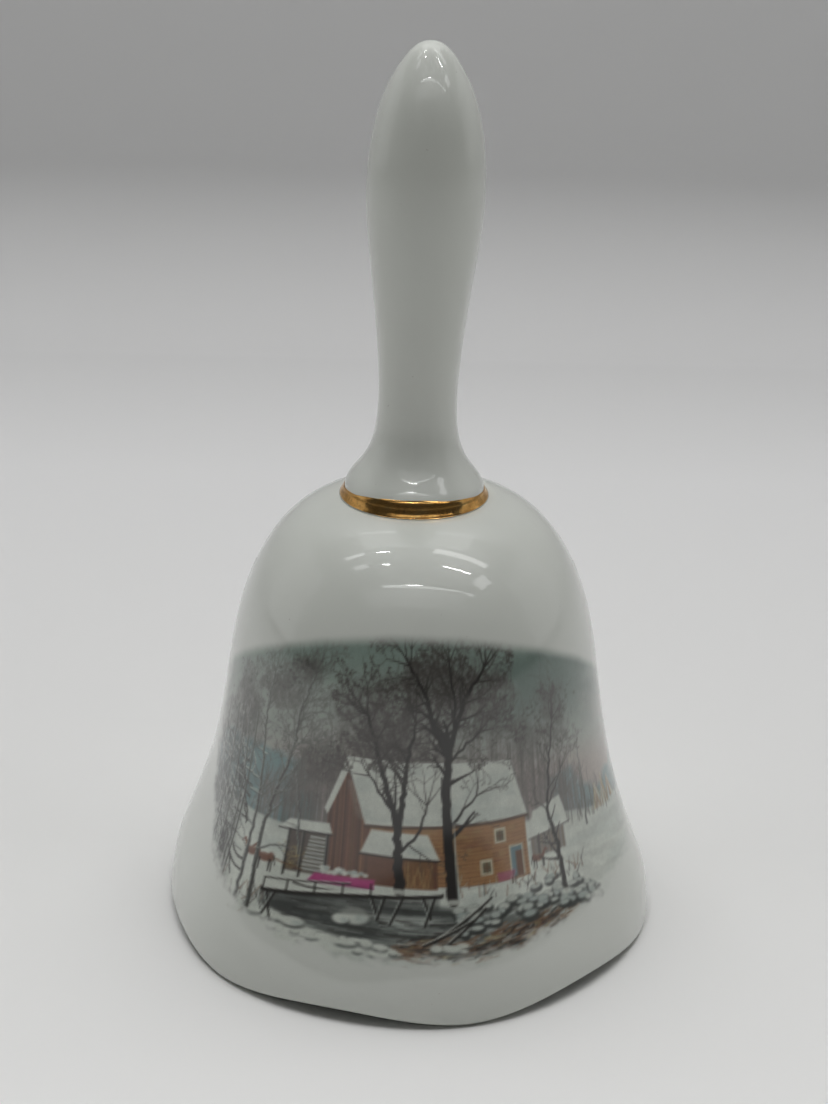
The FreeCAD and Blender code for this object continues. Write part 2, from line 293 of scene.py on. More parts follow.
RIPPLE = 0.75
RIPPLE_AT_RIM = 0.4
LIP = 1.0

# The part of the skin that carries the picture has small cells; COARSE of them make one cell elsewhere
PICTURE_AXIS = math.radians(-88.0)
PICTURE_HALF_TURN = math.radians(88.0)
PICTURE_TOP = 59.0
PICTURE_FOOT = 8.5
PICTURE_CELL = 0.25
PICTURE_RADIUS = 33.0
BACK_CELLS = 5
COARSE = 4
UNWRAP_GAIN = 5.5


def smooth_step(low, high, value):
    share = np.clip((value - low) / (high - low), 0, 1)
    return share * share * (3 - 2 * share)


def shell_columns(spacing):
    """Angles of the columns: close together across the picture, wider apart behind."""
    front = 2 * PICTURE_HALF_TURN
    dense = COARSE * int(round(front * PICTURE_RADIUS / spacing / COARSE))
    behind = 2 * math.pi - front
    sparse = COARSE * int(round(behind * PICTURE_RADIUS / (BACK_CELLS * spacing) / COARSE))
    start = PICTURE_AXIS - PICTURE_HALF_TURN
    first = np.linspace(start, start + front, dense, endpoint=False)
    rest = np.linspace(start + front, start + 2 * math.pi, sparse, endpoint=False)
    return np.concatenate([first, rest])


def waved(profile, angles):
    """A profile turned about the axis, with the six waves of the rim. Rows by columns by 3, in mm."""
    radius, height = profile[:, 0][:, None], profile[:, 1][:, None]
    turn = WAVES * (angles - WAVE_TURN)[None, :]
    lift = WAVE_LIFT * np.abs(np.cos(turn / 2)) ** WAVE_SHARPNESS
    raised = height + lift * np.clip(1 - height / WAVE_REACH, 0, 1) ** 2
    at_rim = RIPPLE_AT_RIM + (1 - RIPPLE_AT_RIM) * smooth_step(0, 10, height)
    swell = RIPPLE * smooth_step(38, 16, height) * at_rim
    wide = radius - swell * np.cos(turn)
    return np.stack([wide * np.cos(angles)[None, :], wide * np.sin(angles)[None, :], raised], axis=2)


def smooth_normals(profile, angles):
    """Normals of the waved skin for every row and column, unaffected by the change of cell size."""
    places = waved(profile, angles)
    down = np.gradient(places, run_length(profile), axis=0)
    after = np.roll(angles, -1) - angles
    after[-1] += 2 * math.pi
    before = np.roll(after, 1)[None, :, None]
    after = after[None, :, None]
    ahead = (np.roll(places, -1, axis=1) - places) / after
    behind = (places - np.roll(places, 1, axis=1)) / before
    across = (ahead * before + behind * after) / (after + before)
    normals = np.cross(down, across)
    return normals / np.linalg.norm(normals, axis=2)[:, :, None]


def unwrap(shell, rows, depths):
    """Lays the skin out flat, most of the map given to the rows and columns of the picture."""
    places = {}
    for ring, depth in zip(rows, depths):
        for column, vertex in enumerate(ring):
            places[int(vertex)] = (column / len(ring), depth)
    layer = shell.data.uv_layers.new(name="OFBake")
    for face in shell.data.polygons:
        corners = [places[vertex] for vertex in face.vertices]
        past_seam = max(corner[0] for corner in corners) > 0.75
        low, high = min(corner[1] for corner in corners), max(corner[1] for corner in corners)
        past_vent = high > 0.9 and low < 0.01
        for loop, (across, up) in zip(face.loop_indices, corners):
            across = 1.0 if past_seam and across < 0.25 else across
            up = 1.0 if past_vent and up < 0.01 else up
            layer.data[loop].uv = (0.002 + 0.996 * across, 0.002 + 0.996 * up)


def make_shell():
    """One closed skin: vent, crown, outside, lip, inside and ceiling, fine only where the picture is."""
    outer = spline(SHELL_OUTER)[::-1]
    inner = spline(SHELL_INNER)
    lip_middle = SHELL_OUTER[0][0] - WALL / 2
    round_lip = arc_points((lip_middle, LIP), WALL / 2, 0, -180, 15)
    round_lip[:, 1] = LIP + (round_lip[:, 1] - LIP) * LIP / (WALL / 2)
    outer = outer[outer[:, 1] > LIP]
    inner = inner[inner[:, 1] > LIP]
    above = outer[outer[:, 1] > PICTURE_TOP]
    middle = outer[(outer[:, 1] <= PICTURE_TOP) & (outer[:, 1] >= PICTURE_FOOT)]
    below = outer[outer[:, 1] < PICTURE_FOOT]
    top = np.array([[VENT, CROWN], [VENT + 0.3, CROWN], [7.0, CROWN], [CROWN_RADIUS - 0.1, CROWN]])
    head = np.concatenate([top, evenly(above, 0.8)])
    print_rows = evenly(middle, PICTURE_CELL)
    foot = np.concatenate([evenly(below, 0.7), round_lip[1:-1], evenly(inner, 1.3)])
    ceiling = np.array([[6.0, CEILING], [VENT + 0.3, CEILING], [VENT, CEILING], [VENT, CEILING + 1.3]])
    foot = np.concatenate([foot, ceiling])

    fine = shell_columns(PICTURE_CELL)
    coarse = fine[::COARSE]
    blocks = [(head, coarse), (print_rows, fine), (foot, coarse)]
    vertices, rows = [], []
    for profile, angles in blocks:
        for line in waved(profile, angles):
            first = sum(len(ring) for ring in rows)
            rows.append(np.arange(first, first + len(angles)))
            vertices.append(line)
    vertices = np.concatenate(vertices)
    faces = []
    for upper, lower in list(zip(rows, rows[1:])) + [(rows[-1], rows[0])]:
        up, down = len(upper), len(lower)
        count = min(up, down)
        up_step, down_step = up // count, down // count
        for here in range(count):
            above_edge = [upper[(here * up_step + i) % up] for i in range(up_step + 1)]
            below_edge = [lower[(here * down_step + i) % down] for i in range(down_step + 1)]
            faces.append(below_edge + above_edge[::-1])
    shell = new_object("bell", vertices * MM, faces)

    profile = np.concatenate([head, print_rows, foot])
    skin = smooth_normals(profile, fine)
    normals = [line if len(ring) == len(fine) else line[::COARSE] for ring, line in zip(rows, skin)]
    shell.data.normals_split_custom_set_from_vertices(np.concatenate(normals))
    steps = np.linalg.norm(np.diff(np.concatenate([profile, profile[:1]]), axis=0), axis=1)
    steps[len(head):len(head) + len(print_rows)] *= UNWRAP_GAIN
    depths = np.concatenate([[0], np.cumsum(steps)[:-1]]) / steps.sum()
    unwrap(shell, rows, depths)
    printed = np.zeros(len(vertices), bool)
    printed[rows[len(head)][0]:rows[len(head) + len(print_rows)][0]] = True
    return shell, vertices, printed


# ---------------------------------------------------------------- painting

# The picture is painted flat, in millimetres: across the bell from its front, and up from the table
PAINT_LEFT, PAINT_RIGHT = -54.0, 56.0
PAINT_LOW, PAINT_HIGH = 6.0, 63.0
PAINT_CELL = 0.1


def tone(red, green, blue):
    """A colour of the print, each part 0 to 255."""
    return np.array([red, green, blue]) / 255


SNOW = tone(243, 246, 242)
SNOW_SHADE = tone(196, 206, 206)
SKY_TOP = tone(150, 168, 162)
SKY_MIDDLE = tone(184, 190, 186)
SKY_GLOW = tone(206, 192, 189)
HAZE_BLUE = tone(128, 164, 170)
FAR_WOOD = tone(150, 142, 142)
BARK = tone(34, 29, 27)
TWIG = tone(84, 78, 76)
FROST = tone(206, 214, 213)
THICKET = tone(60, 63, 62)
PLANK = tone(188, 140, 98)
PLANK_DARK = tone(126, 88, 66)
BRICK = tone(128, 82, 72)
GLASS = tone(122, 112, 92)
WATER = tone(114, 118, 117)
WATER_DARK = tone(72, 74, 74)
EARTH = tone(156, 120, 98)
STRAW = tone(194, 170, 120)
SLED_PINK = tone(206, 74, 148)
HORSE = tone(140, 98, 84)


def blend_tones(first, second, share):
    return first + (second - first) * share


def between_cells(grid, row, column, up, across):
    """Values of a grid between four neighbouring cells, by the shares of the way up and across."""
    low = grid[row, column] * (1 - across) + grid[row, column + 1] * across
    high = grid[row + 1, column] * (1 - across) + grid[row + 1, column + 1] * across
    return low * (1 - up) + high * up


class Picture:
    """A flat painting: a grid of colours that brushes of different shapes are laid over."""

    def __init__(self):
        self.u, self.v = np.meshgrid(
            np.arange(PAINT_LEFT, PAINT_RIGHT, PAINT_CELL), np.arange(PAINT_LOW, PAINT_HIGH, PAINT_CELL)
        )
        self.colour = np.ones((*self.u.shape, 3)) * SNOW

    def noise(self, width, height, seed, layers=4):
        """Cloudy noise from 0 to 1, its largest patches about width by height."""
        rng = np.random.default_rng(seed)
        total, weight = np.zeros(self.u.shape), 0.0
        for layer in range(layers):
            fine = 2 ** layer
            x = (self.u - PAINT_LEFT) / width * fine
            y = (self.v - PAINT_LOW) / height * fine
            column, row = x.astype(int), y.astype(int)
            across, up = x - column, y - row
            across, up = across * across * (3 - 2 * across), up * up * (3 - 2 * up)
            grid = rng.random((row.max() + 2, column.max() + 2))
            total += between_cells(grid, row, column, up, across) / fine
            weight += 1 / fine
        return total / weight

    def wash(self, colour, share):
        self.colour += (colour - self.colour) * share[..., None]

    def window(self, points, reach):
        """The part of the grid round some points, as two slices."""
        low, high = np.min(points, axis=0) - reach, np.max(points, axis=0) + reach
        columns = [max(0, int((edge - PAINT_LEFT) / PAINT_CELL) + 1) for edge in (low[0], high[0])]
        rows = [max(0, int((edge - PAINT_LOW) / PAINT_CELL) + 1) for edge in (low[1], high[1])]
        return slice(*rows), slice(*columns)

    def lay(self, window, colour, share):
        patch = self.colour[window]
        patch += (colour - patch) * share[..., None]

    def stroke(self, start, end, width, end_width, colour, strength=1.0):
        """A straight stroke that may taper. Strokes thinner than a cell are laid fainter instead."""
        window = self.window((start, end), max(width, end_width) / 2 + PAINT_CELL)
        u, v = self.u[window] - start[0], self.v[window] - start[1]
        run = (end[0] - start[0], end[1] - start[1])
        along = np.clip((u * run[0] + v * run[1]) / max(run[0] ** 2 + run[1] ** 2, 1e-9), 0, 1)
        away = np.hypot(u - along * run[0], v - along * run[1])
        half = (width + (end_width - width) * along) / 2
        share = np.clip((half - away) / PAINT_CELL + 0.5, 0, 1)
        self.lay(window, colour, share * strength)

    def line(self, points, width, colour, strength=1.0):
        for start, end in zip(points, points[1:]):
            self.stroke(start, end, width, width, colour, strength)

    def area(self, corners, colour, soft=0.15, strength=1.0):
        """A flat convex patch; corners go round it anticlockwise."""
        window = self.window(corners, soft)
        u, v = self.u[window], self.v[window]
        inside = np.full(u.shape, 1e9)
        for start, end in zip(corners, corners[1:] + corners[:1]):
            run = math.hypot(end[0] - start[0], end[1] - start[1])
            cross = (end[0] - start[0]) * (v - start[1]) - (end[1] - start[1]) * (u - start[0])
            inside = np.minimum(inside, cross / run)
        self.lay(window, colour, np.clip(inside / soft + 0.5, 0, 1) * strength)

    def box(self, left, low, right, high, colour, *rest):
        self.area([(left, low), (right, low), (right, high), (left, high)], colour, *rest)

    def dab(self, centre, wide, tall, colour, strength=1.0, soft=0.5):
        """A soft oval touch, wide and tall from its middle."""
        window = self.window([centre], (wide, tall))
        away = np.hypot((self.u[window] - centre[0]) / wide, (self.v[window] - centre[1]) / tall)
        self.lay(window, colour, np.clip((1 - away) / soft, 0, 1) * strength)


def grow(picture, rng, start, heading, length, width, level, look):
    """A bare limb that wanders and divides. Heading is in degrees, 90 for straight up."""
    bark, twig, wander, snow = look
    steps = max(3, int(length / 1.1))
    point = np.array(start, float)
    for step in range(steps):
        share = step / steps
        heading += rng.normal(0, wander) + (90 - heading) * 0.02
        run = length / steps * np.array([math.cos(math.radians(heading)), math.sin(math.radians(heading))])
        here, after = width * (1 - 0.7 * share), width * (1 - 0.7 * (share + 1 / steps))
        colour = blend_tones(twig, bark, min(1.0, here / 0.45))
        strength = max(0.5, min(1.0, here / 0.16))
        picture.stroke(point, point + run, max(here, 0.13), max(after, 0.12), colour, strength)
        if snow and here > 0.22:
            lit = np.array([-here * 0.36, here * 0.18])
            picture.stroke(point + lit, point + run + lit, 0.12, 0.10, FROST, snow)
        point = point + run
        if level and step:
            for side in (-1, 1):
                if rng.random() < (0.58 if point[1] > 38 else 0.30):
                    turn = heading + side * rng.uniform(20, 62)
                    reach = length * rng.uniform(0.36, 0.66) * (1.1 - 0.45 * share)
                    grow(picture, rng, point, turn, reach, here * 0.62, level - 1, look)


def limbed_tree(picture, seed, limbs, level, look, stretch=1.0):
    """A tree from limbs given one by one, each (points, width at its foot, width at its top)."""
    rng = np.random.default_rng(seed)
    bark, _, _, snow = look
    for points, width, top_width in limbs:
        points = np.array(points, float)
        count = max(4, int(np.linalg.norm(np.diff(points, axis=0), axis=1).sum() / 0.8))
        shares = np.linspace(0, 1, count)
        places = np.linspace(0, 1, len(points))
        path = np.stack([np.interp(shares, places, points[:, axis]) for axis in range(2)], axis=1)
        path[1:-1] += rng.normal(0, 0.12, (count - 2, 2))
        for row in range(count - 1):
            here = width + (top_width - width) * shares[row]
            after = width + (top_width - width) * shares[row + 1]
            picture.stroke(path[row], path[row + 1], here, after, bark)
            if snow:
                lit = np.array([-here * 0.38, 0.0])
                picture.stroke(path[row] + lit, path[row + 1] + lit, 0.16, 0.13, FROST, snow)
            if shares[row] > 0.14 and rng.random() < (0.74 if path[row][1] > 36 else 0.3):
                run = path[row + 1] - path[row]
                turn = rng.choice((-1, 1)) * rng.uniform(24, 62)
                heading = math.degrees(math.atan2(run[1], run[0])) + turn
                length = stretch * rng.uniform(3.4, 7.0) * (1.15 - 0.4 * shares[row])
                grow(picture, rng, path[row], heading, length, here * 0.5, level, look)
        run = path[-1] - path[-2]
        heading = math.degrees(math.atan2(run[1], run[0]))
        for turn in (-32, -8, 17, 38):
            length = stretch * rng.uniform(4.0, 6.5)
            grow(picture, rng, path[-1], heading + turn, length, top_width * 0.8, level, look)


def paint_sky(picture):
    clouds = picture.noise(26, 9, 11)
    wisps = picture.noise(9, 3, 12)
    height = picture.v + (clouds - 0.5) * 9
    picture.wash(SKY_GLOW, np.ones(picture.u.shape))
    picture.wash(SKY_MIDDLE, smooth_step(33, 45, height))
    picture.wash(SKY_TOP, smooth_step(43, 55, height) * 0.95)
    picture.wash(SKY_GLOW, smooth_step(0.56, 0.75, wisps) * smooth_step(52, 40, picture.v) * 0.4)
    gloom = smooth_step(0.5, 0.72, clouds) * smooth_step(40, 50, picture.v)
    picture.wash(tone(104, 122, 118), gloom * 0.55)


def paint_twig_haze(picture):
    """The far crowns: soft dark clouds of twigs too fine to draw, and small leaves still hanging."""
    mottled = picture.noise(3.2, 2.4, 26)
    fine = picture.noise(0.9, 0.7, 27, 3)
    crowns = (
        (-5.5, 45.5, 9.5, 8.5, 0.80), (8.0, 50.5, 11.5, 8.0, 0.85), (1.0, 40.0, 8.0, 7.0, 0.5),
        (-24.0, 48.5, 6.0, 4.5, 0.6), (-33.0, 44.0, 6.0, 8.0, 0.6), (26.5, 45.0, 5.0, 6.5, 0.5),
        (-15.0, 38.5, 7.0, 4.5, 0.6), (20.0, 43.0, 6.0, 5.0, 0.42), (-19.5, 52.5, 4.5, 2.2, 0.55),
    )
    for u, v, wide, tall, strength in crowns:
        away = np.hypot((picture.u - u) / wide, (picture.v - v) / tall) + (mottled - 0.5) * 1.1
        share = smooth_step(1.0, 0.35, away) * (0.45 + 0.55 * smooth_step(0.3, 0.6, fine))
        picture.wash(tone(104, 98, 97), share * strength)
    rng = np.random.default_rng(28)
    for u, v, wide, tall, strength in crowns:
        for _ in range(int(26 * wide)):
            at = (u + rng.normal(0, 0.42) * wide, v + rng.normal(0, 0.42) * tall)
            heading = math.radians(90 + rng.normal(0, 38) - 30 * (at[0] - u) / wide)
            reach = rng.uniform(0.8, 3.0)
            tip = (at[0] + reach * math.cos(heading), at[1] + reach * math.sin(heading))
            picture.stroke(at, tip, 0.17, 0.12, TWIG, 0.5 * strength)
    for _ in range(240):
        u, v, wide, tall, _ = crowns[rng.integers(len(crowns))]
        at = (u + rng.normal(0, 0.5) * wide, v + tall * rng.uniform(0.1, 0.9))
        picture.dab(at, rng.uniform(0.2, 0.6), rng.uniform(0.15, 0.35), tone(78, 76, 74), 0.5)


def paint_far_woods(picture):
    """Blue hills, and behind the barn a grey wood whose tops are lost in the haze."""
    rough = picture.noise(7, 5, 21)
    left_hill = 37.5 + 2.4 * np.sin((picture.u + 40) / 7) + (rough - 0.5) * 5
    left = smooth_step(-13, -19, picture.u) * smooth_step(0.8, -0.8, picture.v - left_hill)
    picture.wash(HAZE_BLUE, left * 0.85)
    dell = left * smooth_step(0.45, 0.7, rough) * smooth_step(38, 31, picture.v)
    picture.wash(tone(96, 134, 140), dell * 0.7)
    picture.wash(tone(196, 212, 214), left * smooth_step(0.55, 0.75, picture.noise(5, 3, 22)) * 0.5)
    right_hill = 33.8 + 1.8 * np.sin((picture.u - 20) / 4.2) + (rough - 0.5) * 6
    right = smooth_step(20, 28, picture.u) * smooth_step(0.8, -0.8, picture.v - right_hill)
    picture.wash(HAZE_BLUE, right * 0.75)
    rng = np.random.default_rng(23)
    for _ in range(520):
        places = (rng.normal(-13, 5.5), rng.normal(23, 6.5), rng.uniform(-44, 46))
        u = rng.choice(places, p=(0.42, 0.38, 0.2))
        top = 43.5 - 0.012 * (u - 4) ** 2 + rng.normal(0, 2.2)
        sway = rng.normal(0, 0.5)
        colour = blend_tones(FAR_WOOD, TWIG, rng.uniform(0, 0.8))
        picture.stroke((u, 27.5), (u + sway, top), 0.28, 0.12, colour, 0.42)
        for _ in range(5):
            foot = rng.uniform(0.35, 0.95)
            at = (u + sway * foot, 27.5 + (top - 27.5) * foot)
            tip = (at[0] + rng.normal(0, 1.1), at[1] + rng.uniform(0.8, 2.4))
            picture.stroke(at, tip, 0.16, 0.1, colour, 0.38)
    bushes = picture.noise(4.5, 3.2, 24)
    near_barn = np.exp(-((picture.u + 14) / 9) ** 2) + np.exp(-((picture.u - 24) / 8) ** 2)
    band = smooth_step(26, 29, picture.v) * smooth_step(40, 33, picture.v)
    brush = smooth_step(0.42, 0.66, bushes) * band * np.clip(near_barn, 0, 1)
    picture.wash(tone(150, 140, 140), brush * 0.6)


def paint_ground(picture):
    drifts = picture.noise(16, 2.6, 31)
    edge = 28.6 + 1.0 * np.sin(picture.u / 9) + (drifts - 0.5) * 2
    ground = smooth_step(0.5, -0.5, picture.v - edge)
    picture.wash(SNOW, ground)
    picture.wash(SNOW_SHADE, ground * smooth_step(0.5, 0.72, drifts) * 0.35)
    picture.wash(tone(206, 208, 206), ground * smooth_step(0.5, 0.7, picture.noise(5, 1.4, 32)) * 0.4)


def paint_boards(picture, rng, left, right, low, high, colour, gap=0.62):
    """A wall of level boards with uneven joints and knots."""
    picture.box(left, low, right, high, colour)
    height = low
    while height < high:
        share = rng.uniform(0.35, 0.75)
        picture.stroke((left, height), (right, height + rng.normal(0, 0.05)), 0.14, 0.12, PLANK_DARK, share)
        for _ in range(6):
            at = rng.uniform(left, right)
            along = at + rng.uniform(0.5, 2.2)
            at_height = height + rng.uniform(0, gap)
            tint = blend_tones(colour, rng.choice((PLANK_DARK, STRAW)), 0.55)
            picture.stroke((at, at_height), (min(along, right), at_height), 0.18, 0.14, tint, 0.45)
        height += gap


def paint_window(picture, left, low, wide, tall):
    picture.box(left - 0.35, low - 0.35, left + wide + 0.35, low + tall + 0.45, tone(228, 218, 196))
    picture.box(left, low, left + wide, low + tall, GLASS)
    middle = left + wide / 2
    picture.stroke((middle, low), (middle, low + tall), 0.14, 0.14, PLANK_DARK)
    picture.stroke((left, low + tall / 2), (left + wide, low + tall / 2), 0.12, 0.12, PLANK_DARK)


def paint_barn(picture):
    """A long boarded barn with a gable to the left, a snowed roof and a low porch."""
    rng = np.random.default_rng(41)
    paint_boards(picture, rng, -6.5, 19.0, 21.4, 31.0, PLANK)
    for _ in range(70):
        at = (rng.uniform(-6, 18.6), rng.uniform(21.6, 30.6))
        wide, tall = rng.uniform(0.5, 1.8), rng.uniform(0.3, 0.8)
        picture.dab(at, wide, tall, rng.choice((BRICK, STRAW, PLANK_DARK)), 0.28)
    gable = [(-13.2, 21.4), (-6.2, 21.4), (-6.2, 31.0), (-10.6, 38.6), (-13.2, 31.0)]
    picture.area(gable, blend_tones(PLANK_DARK, BRICK, 0.5))
    for _ in range(46):
        u = rng.uniform(-13.0, -6.4)
        top = 31.0 + (7.4 - abs(u + 10.4) * 2.6)
        colour = rng.choice((BRICK, BARK, PLANK))
        picture.stroke((u, 21.6), (u, top), 0.22, 0.16, colour, 0.32)
    picture.area([(-10.9, 39.4), (-13.9, 31.8), (-13.3, 30.9), (-10.2, 38.2)], SNOW)
    roof = [(-7.0, 29.9), (19.6, 30.6), (16.9, 39.4), (-10.6, 40.2)]
    picture.area(roof, SNOW, 0.25)
    folds = picture.noise(5.5, 3.0, 42)
    inside = smooth_step(0, 0.6, picture.v - 30.4) * smooth_step(0.4, -0.4, picture.v - 39.6)
    inside *= smooth_step(-0.4, 0.6, picture.u + 9.2 - (picture.v - 33) * -0.34)
    inside *= smooth_step(19.0, 18.2, picture.u + (picture.v - 31) * 0.3)
    picture.wash(SNOW_SHADE, inside * smooth_step(0.46, 0.7, folds) * 0.3)
    picture.stroke((-10.6, 40.2), (16.9, 39.4), 0.4, 0.4, tone(240, 243, 241))
    picture.stroke((-7.0, 29.8), (19.6, 30.5), 0.5, 0.45, blend_tones(PLANK_DARK, BARK, 0.4), 0.85)
    picture.stroke((16.9, 39.4), (19.7, 30.6), 0.3, 0.3, tone(150, 150, 148), 0.6)
    for left, low in ((13.6, 27.4), (11.0, 23.0)):
        paint_window(picture, left, low, 1.3, 1.5)
    picture.box(15.6, 21.6, 18.2, 26.4, tone(222, 214, 196))
    picture.box(15.9, 21.6, 17.9, 26.1, tone(120, 148, 160))
    picture.box(16.7, 21.6, 17.9, 25.4, PLANK_DARK)
    porch = [(-7.6, 25.6), (4.6, 25.2), (2.8, 29.0), (-6.0, 29.4)]
    picture.box(-6.4, 21.0, 4.2, 25.6, blend_tones(PLANK_DARK, BRICK, 0.35))
    picture.box(-0.8, 21.0, 3.6, 25.2, tone(142, 104, 76))
    for _ in range(40):
        u = rng.uniform(-0.6, 3.4)
        lean = rng.normal(0, 0.5)
        colour = rng.choice((STRAW, PLANK, PLANK_DARK))
        picture.stroke((u, 21.2), (u + lean, rng.uniform(22.4, 25.0)), 0.2, 0.14, colour, 0.5)
    picture.area(porch, SNOW, 0.3)
    picture.dab((1.2, 26.6), 2.6, 1.0, SNOW_SHADE, 0.5, 0.8)
    picture.stroke((-7.6, 25.5), (4.6, 25.1), 0.34, 0.3, BARK, 0.75)


def paint_shed(picture):
    """The open shed left of the gable, on posts, with hay under it."""
    rng = np.random.default_rng(43)
    picture.area([(-19.6, 21.4), (-12.6, 21.4), (-12.6, 28.6), (-19.6, 28.0)], tone(104, 92, 86), 0.4)
    for row in range(9):
        height = 22.0 + row * 0.62
        shade = blend_tones(tone(214, 216, 212), SNOW_SHADE, rng.random() * 0.6)
        picture.stroke((-16.6 + 0.12 * row, height), (-13.4 + 0.05 * row, height), 0.42, 0.36, shade, 0.9)
        picture.stroke((-16.6, height + 0.3), (-13.4, height + 0.3), 0.12, 0.1, TWIG, 0.6)
    for _ in range(60):
        at = (rng.uniform(-19.4, -16.6), rng.uniform(21.6, 25.0))
        tip = (at[0] + rng.normal(0, 0.8), at[1] + rng.uniform(0.2, 0.9))
        picture.stroke(at, tip, 0.18, 0.12, STRAW, 0.45)
    for u in (-19.4, -16.9, -13.0):
        picture.stroke((u, 20.8), (u, 28.2), 0.42, 0.38, BARK, 0.85)
        picture.stroke((u - 0.18, 20.8), (u - 0.18, 28.2), 0.14, 0.14, FROST, 0.7)
    picture.area([(-21.4, 27.6), (-12.2, 27.8), (-12.8, 29.5), (-19.6, 29.2)], SNOW, 0.3)
    picture.stroke((-21.4, 27.5), (-12.2, 27.7), 0.28, 0.26, BARK, 0.7)


def paint_cottage(picture):
    """A small snowed roof right of the barn, and stooks of straw beyond it."""
    rng = np.random.default_rng(44)
    picture.area([(19.8, 23.6), (27.0, 23.8), (27.0, 27.2), (19.8, 27.0)], tone(150, 142, 138), 0.3)
    for _ in range(26):
        u = rng.uniform(20.0, 26.8)
        picture.stroke((u, 23.7), (u, 27.0), 0.16, 0.14, rng.choice((BARK, PLANK, FROST)), 0.3)
    picture.area([(19.4, 26.6), (28.4, 27.6), (26.6, 32.2), (20.6, 30.8)], SNOW, 0.35)
    picture.dab((24.6, 28.6), 2.8, 1.0, SNOW_SHADE, 0.45, 0.8)
    picture.stroke((19.4, 26.5), (28.4, 27.5), 0.22, 0.2, TWIG, 0.7)
    for u, low, tall in ((36.5, 27.6, 4.2), (39.0, 27.8, 5.2), (41.6, 28.2, 3.6)):
        for _ in range(34):
            foot = u + rng.normal(0, 0.85)
            tip = (u + rng.normal(0, 0.22), low + tall * rng.uniform(0.6, 1.0))
            picture.stroke((foot, low), tip, 0.22, 0.14, rng.choice((STRAW, SNOW, EARTH)), 0.5)
    for _ in range(30):
        u = rng.uniform(28, 47)
        foot = 27.2 + rng.normal(0, 0.3)
        tip = (u + rng.normal(0, 0.3), foot + rng.uniform(0.8, 2.6))
        picture.stroke((u, foot), tip, 0.2, 0.12, TWIG, 0.5)


def paint_animal(picture, rng, u, v, size, facing, colour):
    """A working horse seen from the side, in a few touches. Its own sizes are for a size of one."""
    def at(forward, up):
        return u + facing * forward * size, v + up * size

    picture.dab(at(0, 1.9), 1.5 * size, 0.78 * size, colour, 0.95, 0.4)
    picture.dab(at(-1.1, 2.1), 0.75 * size, 0.85 * size, colour, 0.9, 0.4)
    picture.stroke(at(1.1, 2.2), at(1.9, 3.3), 0.72 * size, 0.42 * size, colour, 0.95)
    picture.stroke(at(1.9, 3.4), at(2.5, 2.9), 0.42 * size, 0.28 * size, colour, 0.95)
    for leg in (-1.3, -0.8, 0.9, 1.3):
        hip = u + leg * size
        hoof = hip + rng.normal(0, 0.18) * size
        picture.stroke((hip, v + 1.6 * size), (hoof, v), 0.3 * size, 0.2 * size, BARK, 0.75)
    picture.stroke(at(-1.6, 2.3), at(-2.0, 1.0), 0.26 * size, 0.16 * size, BARK, 0.7)
    picture.dab(at(0, 2.45), 1.0 * size, 0.24 * size, blend_tones(colour, SNOW, 0.35), 0.6, 0.7)


def paint_yard(picture):
    """Two sleds and the horses that draw them, in the yard before the barn."""
    rng = np.random.default_rng(45)
    for u, v, size, facing in ((-25.5, 21.0, 0.95, -1), (-22.9, 20.6, 1.0, -1), (21.0, 21.9, 0.78, 1)):
        paint_animal(picture, rng, u, v, size, facing, HORSE)
    picture.area([(-15.4, 20.3), (-5.2, 20.3), (-5.0, 21.7), (-14.4, 21.7)], SLED_PINK, 0.4)
    picture.stroke((-15.2, 20.4), (-5.2, 20.4), 0.36, 0.3, tone(150, 54, 112), 0.8)
    for _ in range(26):
        at = (rng.uniform(-13.4, -6.2), 22.0 + rng.uniform(-0.1, 0.7))
        picture.dab(at, 0.6, 0.42, rng.choice((SNOW, SNOW, SNOW_SHADE)), 0.9, 0.5)
    picture.line([(-17.4, 19.7), (-15.0, 19.4), (-5.0, 19.4)], 0.26, BARK, 0.8)
    picture.area([(13.4, 21.4), (16.0, 21.4), (16.4, 22.7), (13.2, 22.7)], tone(190, 110, 140), 0.3, 0.85)
    picture.stroke((-21.0, 22.6), (-16.4, 21.8), 0.2, 0.2, PLANK_DARK, 0.8)


